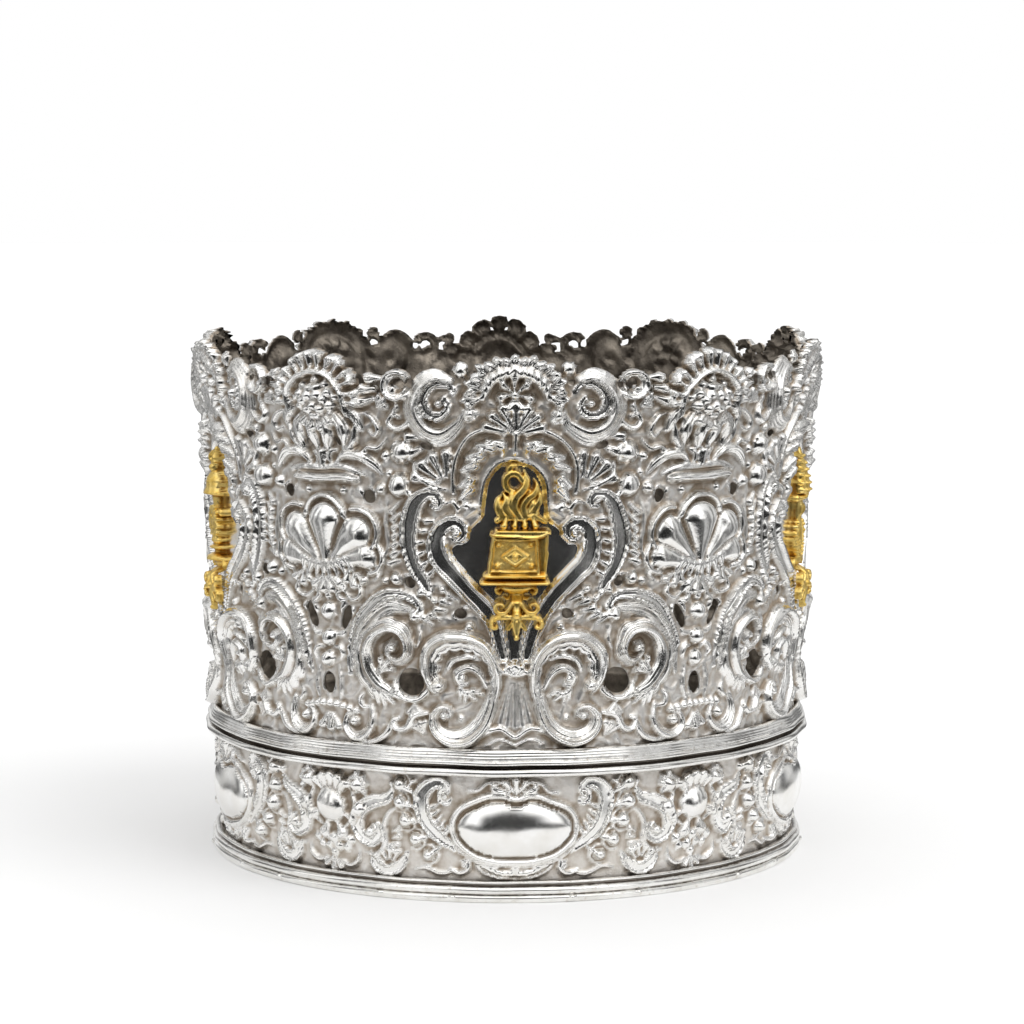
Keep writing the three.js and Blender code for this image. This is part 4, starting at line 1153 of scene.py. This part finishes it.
def bracket(r, middle=0.0):
    """The bracket under an emblem: a cup, a waisted stem, two pairs of curled arms, a boss and a pendant
    leaf."""
    m = middle
    r.turned(m, [(93.6, 1.3), (94.4, 3.4), (95.6, 4.8), (96.8, 4.9)], 0.5)
    r.turned(m, [(86.4, 1.9), (88.6, 1.7), (90.6, 1.15), (93.8, 1.5)], 0.9)
    for side in (-1, 1):
        put = lambda points: [(m + side * u, z) for u, z in points]
        r.band(put([(3.6, 95.8), (5, 96), (5.9, 95), (5.2, 94.1), (4.4, 94.6)]), [1.2, 1.3, 1.3, 1.1, 0.8],
               1.7)
        r.band(put([(1.0, 93.4), (1.6, 91), (3.2, 89), (5.2, 88.7), (6.3, 90), (5.6, 91.4), (4.2, 91.1),
                    (4.4, 90.1)]), [1.0, 1.3, 1.5, 1.5, 1.4, 1.2, 1.0, 0.8], 1.7, ends=(0.8, 0.7))
        r.band(put([(1.8, 94), (2.6, 92.8), (3.8, 93.4)]), [0.8, 1.0, 0.7], 1.1)
        r.band(put([(1, 87.2), (3.4, 87.6), (5.8, 87.2), (7.4, 85.9), (7.2, 84.4), (5.9, 84.3), (6.1, 85.2)]),
               [1.8, 2.1, 1.8, 1.6, 1.4, 1.1, 0.8], 1.7, ends=(0.7, 0.7), ribs=1.4, depth=0.2)
        r.drop((m + side * 0.7, 86.4), (m + side * 2.5, 83.9), (0.9, 0.6), 1.3, groove=0.3)
    r.bead(m, 88.2, 1.3, 2.4)
    r.drop((m, 86), (m, 82.4), (1.7, 0.8), 1.9, groove=0.35)
    r.bead(m, 81.1, 0.85, 1.5)


def altar(r):
    """An altar seen a little from its right: two steps, a sunk panel with a lozenge, a slab, coals and
    flames."""
    bracket(r, 0.4)
    r.plate(np.array([(-10.2, 96.6), (9.9, 96.6), (9.6, 98.5), (-9.8, 98.5)]), 4.3, 0.4, 0.1)
    r.plate(np.array([(-9.5, 98.4), (9.5, 98.4), (9.2, 100.6), (-8.6, 100.6)]), 3.3, 0.4, 0.1)
    r.band([(-10, 97.5), (0, 97.3), (9.8, 97.6)], 1.3, 5.0, ends=(0.97, 0.97))
    r.band([(-9.2, 99.6), (0, 99.4), (9.2, 99.7)], 1.0, 4.3, ends=(0.97, 0.97))
    r.plate(np.array([(-8.3, 100), (6.9, 100), (6.5, 111.4), (-6.9, 111.4)]), 2.2, 0.3, 0.8)
    chance = np.random.default_rng(9)
    for u, z in chance.uniform([-6.8, 101.5], [6.2, 110.5], (150, 2)):
        r.bead(u, z, 0.34, 2.55, matt=0.3)
    r.plate(np.array([(6.8, 100), (9.2, 100.2), (9.8, 112), (6.4, 111.2)]), 1.5, 0.3, 0.3)
    for line, width in [([(-7.7, 100.4), (-6.9, 106), (-6.3, 111)], 1.5),
                        ([(6.9, 100.4), (6.6, 106), (6.4, 111)], 1.4),
                        ([(-7.4, 101), (0, 100.8), (6.8, 101)], 0.9),
                        ([(-6.3, 110.6), (0, 110.5), (6.4, 110.6)], 0.9)]:
        r.band(line, width, 3.2, ends=(0.97, 0.97), matt=0)
    r.band([(9, 100.6), (9.4, 106), (9.7, 111.6)], 0.9, 2.1, ends=(0.95, 0.95))
    r.base = 2.1
    r.plate(np.array([(-3.8, 105.5), (0, 108.1), (3.8, 105.5), (0, 102.9)]), 0.7, 0.9, 0)
    ring = [(-3.8, 105.5), (0, 108.1), (3.8, 105.5), (0, 102.9), (-3.8, 105.5)]
    for a, b in zip(ring[:-1], ring[1:]):
        r.drop(a, b, (0.42, 0.42), 0.9, matt=0)
    r.bead(0, 105.5, 0.9, 1.5)
    for u, z in [(-4.9, 109.2), (4.7, 109.2), (-5.3, 102.6), (4.9, 102.6)]:
        r.bead(u, z, 0.75, 1.1)
        r.drop((0.75 * u, 0.75 * (z - 105.5) + 105.5), (u, z), (0.25, 0.5), 0.6, matt=0)
    r.base = 0.0
    r.plate(np.array([(-7.2, 111.2), (6.6, 110.8), (10.5, 112.7), (9.5, 113.7), (-5.8, 113.9)]), 3.4, 0.5,
            0.1)
    r.band([(-7.1, 111.8), (0, 111.5), (6.6, 111.3), (10.3, 112.8)], 1.0, 4.3, ends=(0.95, 0.9))
    r.base = 0.8
    for u in (-3.3, -0.1, 2.9, 6.0):
        r.drop((0.8 * u + 0.3, 117.2), (u, 114.7), (0.6, 1.25), 2.4, matt=0)
    r.drop((-2.6, 117.8), (-5.2, 116.1), (0.6, 1.0), 2.0, groove=0.3)
    r.drop((5.4, 117.6), (9.2, 115.5), (1.0, 0.5), 1.9, groove=0.3)
    r.drop((4.6, 117.4), (6.9, 118.4), (0.8, 0.4), 1.8)
    r.plate(np.array([(-4.4, 116), (7, 116), (7.4, 122), (4.4, 126.4), (0, 126), (-4.8, 122)]), 1.1, 0.6, 0.3)
    r.pierce(-0.5, 127.7, 1.15, 1.25)
    for line, widths, height in [
        ([(1.4, 117), (-0.3, 120), (0.2, 123), (2.4, 125.6), (3.4, 128), (2.9, 130.4)],
         [2.6, 3.0, 3.1, 3.0, 2.4, 1.0], 3.2),
        ([(2.6, 127.2), (1.3, 129.5), (-0.5, 130.4), (-2.4, 129.4), (-2.9, 127.4), (-2.1, 125.5),
          (-0.2, 124.9)], [1.8, 2.2, 2.3, 2.3, 2.3, 2.2, 1.6], 2.8),
        ([(-1.4, 130), (-1.7, 131.6), (-0.7, 132.6), (0.5, 132.8)], [2.4, 2.3, 1.8, 1.0], 2.4),
        ([(-3.6, 117), (-4.9, 119.4), (-5.1, 122), (-4.3, 123.4)], [2.4, 2.5, 1.9, 0.8], 2.3),
        ([(-1.4, 117.2), (-3.1, 120), (-2.6, 122.4), (-3.6, 124.4)], [2.4, 2.6, 2.2, 0.9], 2.6),
        ([(0.2, 118), (-1.4, 120.8), (-1, 123.8), (-2.2, 125.4)], [1.8, 2.0, 1.8, 0.9], 2.9),
        ([(3.2, 117.2), (2.4, 120.4), (3.8, 122.8), (5.6, 124.2), (6.4, 126.2), (6, 128)],
         [2.2, 2.6, 2.6, 2.3, 1.8, 0.7], 2.8),
        ([(4.9, 117.6), (6.4, 120.4), (7.4, 123), (7, 125.4)], [2.0, 2.3, 1.9, 0.8], 2.3),
        ([(4, 119), (5.2, 121.4), (5.2, 123)], [1.5, 1.7, 1.0], 2.6),
    ]:
        r.band(line, widths, height, ends=(0.7, 0.5), flutes=1, depth=0.25, matt=0)


def censer(r):
    """A covered vessel with a pointed cap, a bead, a bell, a wreathed medallion and a turned foot."""
    bracket(r)
    r.turned(0, [(96.4, 5), (97.6, 4.6), (98.6, 2.2), (99.8, 2.4), (100.4, 3.8), (101.2, 2.4), (102.6, 3.3),
                 (104.2, 2.4), (106, 2.6), (112, 2.4), (114, 2.1), (117.2, 2.6)], 1.0)
    for z, half in [(96.9, 4.8), (100.5, 3.6), (117.6, 5.9)]:
        r.band([(-half, z), (0, z - 0.2), (half, z)], 1.4, 4.0, ends=(0.6, 0.6))
    r.turned(0, [(117.4, 5.6), (119.4, 4.6), (122.4, 4.1), (124.4, 2.6), (125, 1.6)], 0.95)
    for z in (119.2, 121.6):
        r.band([(-4.4, z), (0, z - 0.3), (4.4, z)], 0.8, 4.4, ends=(0.4, 0.4))
    r.bead(0, 125.7, 1.7, 3.2)
    r.drop((0, 127.4), (0, 131.8), (2.3, 0.6), 2.6, groove=0.4, matt=0)
    for side in (-1, 1):
        r.band([(side * 1.2, 126.6), (side * 2.5, 128.6), (side * 1.3, 131.2)], [0.9, 1.2, 0.7], 2.8)
        r.bead(side * 5.6, 111.8, 1.3, 2.2)
        r.band([(side * 2.6, 111.6), (side * 4, 112.6), (side * 5.2, 112)], 1.0, 1.8)
    r.base = 1.6
    r.row(arc((0, 108.4), 3.9, 90, 450, 17), 13, 0.9, (0.7, 1.0), 1.8, lean=0.6, groove=0.3)
    r.bead(0, 108.4, 2.5, 1.5)
    r.fan((0, 108.4), 6, 150, (0.3, 2), (0.3, 0.5), 2.1, groove=0.3)
    r.base = 0.0


def mitre(r):
    """A tall worked cap over a bar, a fluted column, clusters of berries and three hanging chains."""
    bracket(r)
    cloth = np.array([(-6.4, 105.4), (6.4, 105.4), (5.8, 100), (2.6, 96), (-2.6, 96), (-5.8, 100)])
    r.plate(cloth, 0.8, 0.8, 0.5)
    r.turned(0, [(95.8, 2.6), (98, 2.4), (104, 2.8), (109, 2.2), (114.8, 2.6)], 0.8)
    r.turned(0, [(117, 4.7), (120.6, 4.5), (126, 2.9), (131.6, 0.7)], 0.9)
    for k in range(6):
        z = 118.2 + 2.1 * k
        half = np.interp(z, [117, 120.6, 126, 131.6], [4.7, 4.5, 2.9, 0.7])
        for u in np.linspace(-half, half, 7 - k) * 0.8:
            r.bead(u + 0.01, z, 0.72, 1.0 + 0.9 * half * np.sqrt(1 - (u / (half + 0.4)) ** 2), matt=0.1)
    r.band([(-7.4, 115.9), (0, 115.6), (7.4, 115.9)], 2.1, 3.6, ends=(0.6, 0.6), ribs=1.4, depth=0.25)
    for side in (-1, 1):
        r.bead(side * 7.3, 115.9, 1.2, 2.6)
        r.band([(side * 1.3, 109.2), (side * 1.2, 112), (side * 1.4, 114.6)], 0.8, 3.0)
        for u, z in [(3.2, 107.6), (5, 106.4), (3.6, 105.4), (5.8, 104.4)]:
            r.bead(side * u, z, 1.0, 2.2)
    for top, half, dip in [(105, 4.2, 100.4), (104, 5.6, 97.8), (102.6, 6.4, 95.6)]:
        r.band([(-half, top), (-0.55 * half, (top + 2 * dip) / 3), (0, dip),
                (0.55 * half, (top + 2 * dip) / 3), (half, top)], 1.1, 2.9, ends=(0.7, 0.7), ribs=1.2,
               depth=0.35)


def tablets(r):
    """Two round-topped tablets on a plinth, with rows of plain strokes, under a small coronet."""
    bracket(r)
    r.plate(np.array([(-9.5, 96.8), (9.5, 96.8), (9, 99.8), (-9, 99.8)]), 3.0, 0.4, 0.1)
    r.band([(-9.4, 97.6), (0, 97.5), (9.4, 97.6)], 1.2, 3.8, ends=(0.9, 0.9))
    for side in (-1, 1):
        near, far = (180, 0) if side > 0 else (0, 180)
        head = arc((side * 4.4, 117), 4.15, near, far, 14)
        outline = np.vstack([[(side * 0.25, 99.6)], head, [(side * 8.6, 99.6)]])
        r.plate(outline, 1.8, 0.5, 0.2)
        border = spline(arc((side * 4.4, 117), 3.7, 0, 180, 9), 3)
        r.band(border, 0.8, 2.7, ends=(0.9, 0.9))
        for u in (0.7, 8.1):
            r.band([(side * u, 100.4), (side * u, 108), (side * u, 117)], 0.8, 2.7, ends=(0.95, 0.95))
        r.base = 1.8
        for k in range(5):
            for u, length in [(2.6, 0.9), (4.5, 0.8), (6.3, 0.9)]:
                z = 103 + 3.1 * k
                r.drop((side * u - length / 2, z + 0.2), (side * u + length / 2, z - 0.1), (0.34, 0.3), 0.6)
        r.base = 0.0
    r.fan((0, 121), 5, 60, (0.6, 5.6), (0.8, 1.2), 2.4, groove=0.3)
    r.band([(-4.4, 121.6), (0, 120.8), (4.4, 121.6)], 1.5, 2.8, ends=(0.7, 0.7))
    r.bead(0, 127.4, 1.2, 2.4)


def lamp(r):
    """A lamp of seven branches on a stepped foot: three hoops about one stem, knops on each, and seven
    flames."""
    bracket(r)
    r.turned(0, [(96.6, 5.8), (98, 5.2), (99.6, 2.6), (101, 1.3), (104, 1.2), (105, 2.1), (106, 1.2),
                 (110.4, 1.2), (111.4, 2.1), (112.4, 1.2), (121.8, 1.2)], 1.1)
    for z, half in [(97.2, 5.6), (99.4, 3)]:
        r.band([(-half, z), (0, z - 0.2), (half, z)], 1.1, 4.2, ends=(0.6, 0.6))
    for reach in (3.1, 6.2, 9.3):
        hoop = arc((0, 0), 1, 180, 360, 13) * [reach, 1.25 * reach] + [0, 121.8]
        r.band(hoop, 1.3, 2.2, ends=(0.9, 0.9))
        for angle in (215, 250, 290, 325):
            a = np.radians(angle)
            r.bead(reach * np.cos(a), 121.8 + 1.25 * reach * np.sin(a), 0.95, 2.2)
    r.band([(-10.2, 122.4), (0, 122.3), (10.2, 122.4)], 1.5, 2.9, ends=(0.8, 0.8))
    for k in range(-3, 4):
        r.turned(3.1 * k, [(122.6, 1.25), (124, 1.0), (124.6, 1.1)], 1.6)
        r.drop((3.1 * k, 125.2), (3.1 * k + 0.2, 128.2 + (k == 0) * 1.2), (1.0, 0.4), 1.9, matt=0)


castings = [("emblem_altar", altar), ("emblem_mitre", mitre), ("emblem_tablets", tablets),
            ("emblem_lamp", lamp), ("emblem_censer", censer)]
for bay, (node, layout) in enumerate(castings):
    emblem(node, bay, layout)

# ---- The view: a pale floor, soft light, a surround for the polish to mirror, and the camera ----
# The crown stands on a white table. Polished silver shows what is round it, so a surround that only mirrors
# see has a dark side towards the camera, pale sides with dark stripes, and soft boxes on the left and above.
from mathutils import Vector

scene = bpy.context.scene
scene.view_settings.view_transform = "Standard"
NEAR_FLOOR = 0.215
FAR_FLOOR = 6.0
SURROUND = 2.4
CROWN_MIDDLE = 0.1
STRIPES = (62, 101, 140, 179, -64, -104, -142, -181)
HALF_STRIPE = 8
LEFT_BOX = ((-94, -76), (8, 52))
HIGH_BOX = ((8, 34), (38, 62))


def disc(name, inner, outer, height):
    """A flat ring about the axis, in metres. An inner radius of zero closes it to a disc."""
    steps = 96
    turn = np.linspace(0, TURN, steps, endpoint=False)
    ring = np.stack([np.cos(turn), np.sin(turn), 0 * turn], -1)
    points = np.concatenate([inner * ring, outer * ring]) + [0, 0, height]
    i = np.arange(steps)
    faces = np.stack([i, steps + i, steps + (i + 1) % steps, (i + 1) % steps], -1)
    return build(name, points / MM, [faces])


def box_of_light(azimuth, elevation, across, up, blur):
    """1 inside a rectangle of directions, [low, high] in degrees each way, with a soft edge."""
    a, b = across
    c, d = up
    side = smooth_step(azimuth, a - blur, a + blur) * (1 - smooth_step(azimuth, b - blur, b + blur))
    rise, fall = [smooth_step(elevation, level - blur, level + blur) for level in (c, d)]
    return side * rise * (1 - fall)


def surround():
    """A shell about the crown: a ring just under the table's height, then a dome. Its glow depends on the
    direction from the crown, in degrees from the front and from the horizon: it is less on the right, further
    to the left and below the horizon, cut by dark stripes and by the dark front, and raised by soft boxes."""
    turn = np.radians(np.linspace(-180, 180, 145))
    rings = [(r, -0.002) for r in (NEAR_FLOOR * 0.98, 0.4, 0.6, 0.9, 1.4, SURROUND)]
    rings += [(SURROUND * np.cos(e), SURROUND * np.sin(e)) for e in np.radians(np.linspace(2, 89.5, 44))]
    r, z = np.array(rings).T[:, :, None]
    points = np.stack([r * np.sin(turn), -r * np.cos(turn), z + 0 * turn], -1)
    azimuth = np.degrees(turn) + 0 * z
    elevation = np.degrees(np.arctan2(z - CROWN_MIDDLE, r)) + 0 * turn
    glow = 1.25 - 0.5 * smooth_step(azimuth, 44, 76) - 0.45 * smooth_step(-azimuth, 48, 80)
    glow = glow * (1 - 0.25 * smooth_step(-elevation, -3, 3))
    for middle in STRIPES:
        across = (middle - HALF_STRIPE, middle + HALF_STRIPE)
        glow = glow * (1 - 0.85 * box_of_light(azimuth, elevation, across, (-60, 44), 8))
    glow = glow * (1 - 0.97 * box_of_light(np.abs(azimuth), elevation, (-90, 26), (-60, 20), 8))
    glow = glow * (1 - 0.9 * box_of_light(np.abs(azimuth), elevation, (-90, 48), (-60, 0), 5))
    for box, light in [(LEFT_BOX, 0.4), (HIGH_BOX, 0.9)]:
        glow = glow + light * box_of_light(azimuth, elevation, *box, 4)
    glow = glow + 0.6 * smooth_step(elevation, 58, 74)
    rows, across = azimuth.shape
    i, j = np.meshgrid(np.arange(rows - 1), np.arange(across - 1), indexing="ij")
    at = lambda a, b: (a * across + b).ravel()
    faces = np.stack([at(i, j), at(i + 1, j), at(i + 1, j + 1), at(i, j + 1)], -1)
    return build("surround", points / MM, [faces], glow=np.maximum(glow, 0.02))


def table_white():
    """A matt white table top with faint clouds."""
    n = Nodes("table_white")
    colour = n.mix(n.noise(60.0, 3.0), (0.95, 0.95, 0.95, 1), (0.93, 0.93, 0.93, 1))
    return n.finish(Base_Color=colour, Roughness=0.9)


TABLE_WHITE = table_white()
near_floor = disc("near_floor", 0, NEAR_FLOOR, 0)
far_floor = disc("far_floor", NEAR_FLOOR, FAR_FLOOR, 0)
far_floor.visible_glossy = False
for part in (near_floor, far_floor):
    part.data.materials.append(TABLE_WHITE)
    part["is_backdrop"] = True

shell = surround()
glow_nodes = Nodes("surround_glow")
glow_nodes.set(glow_nodes.shader.inputs["Base Color"], (0, 0, 0, 1))
glow_nodes.set(glow_nodes.shader.inputs["Specular IOR Level"], 0.0)
glow_nodes.set(glow_nodes.shader.inputs["Emission Color"], (1, 1, 1, 1))
glow_nodes.set(glow_nodes.shader.inputs["Emission Strength"], glow_nodes.value("glow"))
shell.data.materials.append(glow_nodes.material)
shell.visible_camera = shell.visible_diffuse = shell.visible_shadow = False
shell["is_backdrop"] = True

world = bpy.data.worlds.new("white_room")
world.use_nodes = True
world.node_tree.nodes["Background"].inputs["Color"].default_value = (1, 1, 1, 1)
world.node_tree.nodes["Background"].inputs["Strength"].default_value = 1.0
scene.world = world

sun = bpy.data.objects.new("key", bpy.data.lights.new("key", "SUN"))
sun.data.energy = 0.7
sun.data.angle = np.radians(40)
SUN_FROM = Vector((0.7, -0.5, 1.0))
sun.rotation_euler = (-SUN_FROM).to_track_quat("-Z", "Y").to_euler()
bpy.context.collection.objects.link(sun)

CAMERA_TURN = np.radians(-1.5)
CAMERA_DISTANCE = 1.068
CAMERA_HEIGHT = 0.230
AIM = Vector((0.00179, 0, 0.1076))
camera = bpy.data.objects.new("camera", bpy.data.cameras.new("camera"))
camera.data.lens = 115.7
camera.data.sensor_width = 36
camera.data.clip_start = 0.05
camera.location = (CAMERA_DISTANCE * np.sin(CAMERA_TURN), -CAMERA_DISTANCE * np.cos(CAMERA_TURN),
                   CAMERA_HEIGHT)
camera.rotation_euler = (AIM - camera.location).to_track_quat("-Z", "Y").to_euler()
bpy.context.collection.objects.link(camera)
scene.camera = camera

boxes = {"cad": CAD_BOX, "visual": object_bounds()}
{name: [list(corner) for corner in box] for name, box in boxes.items()}
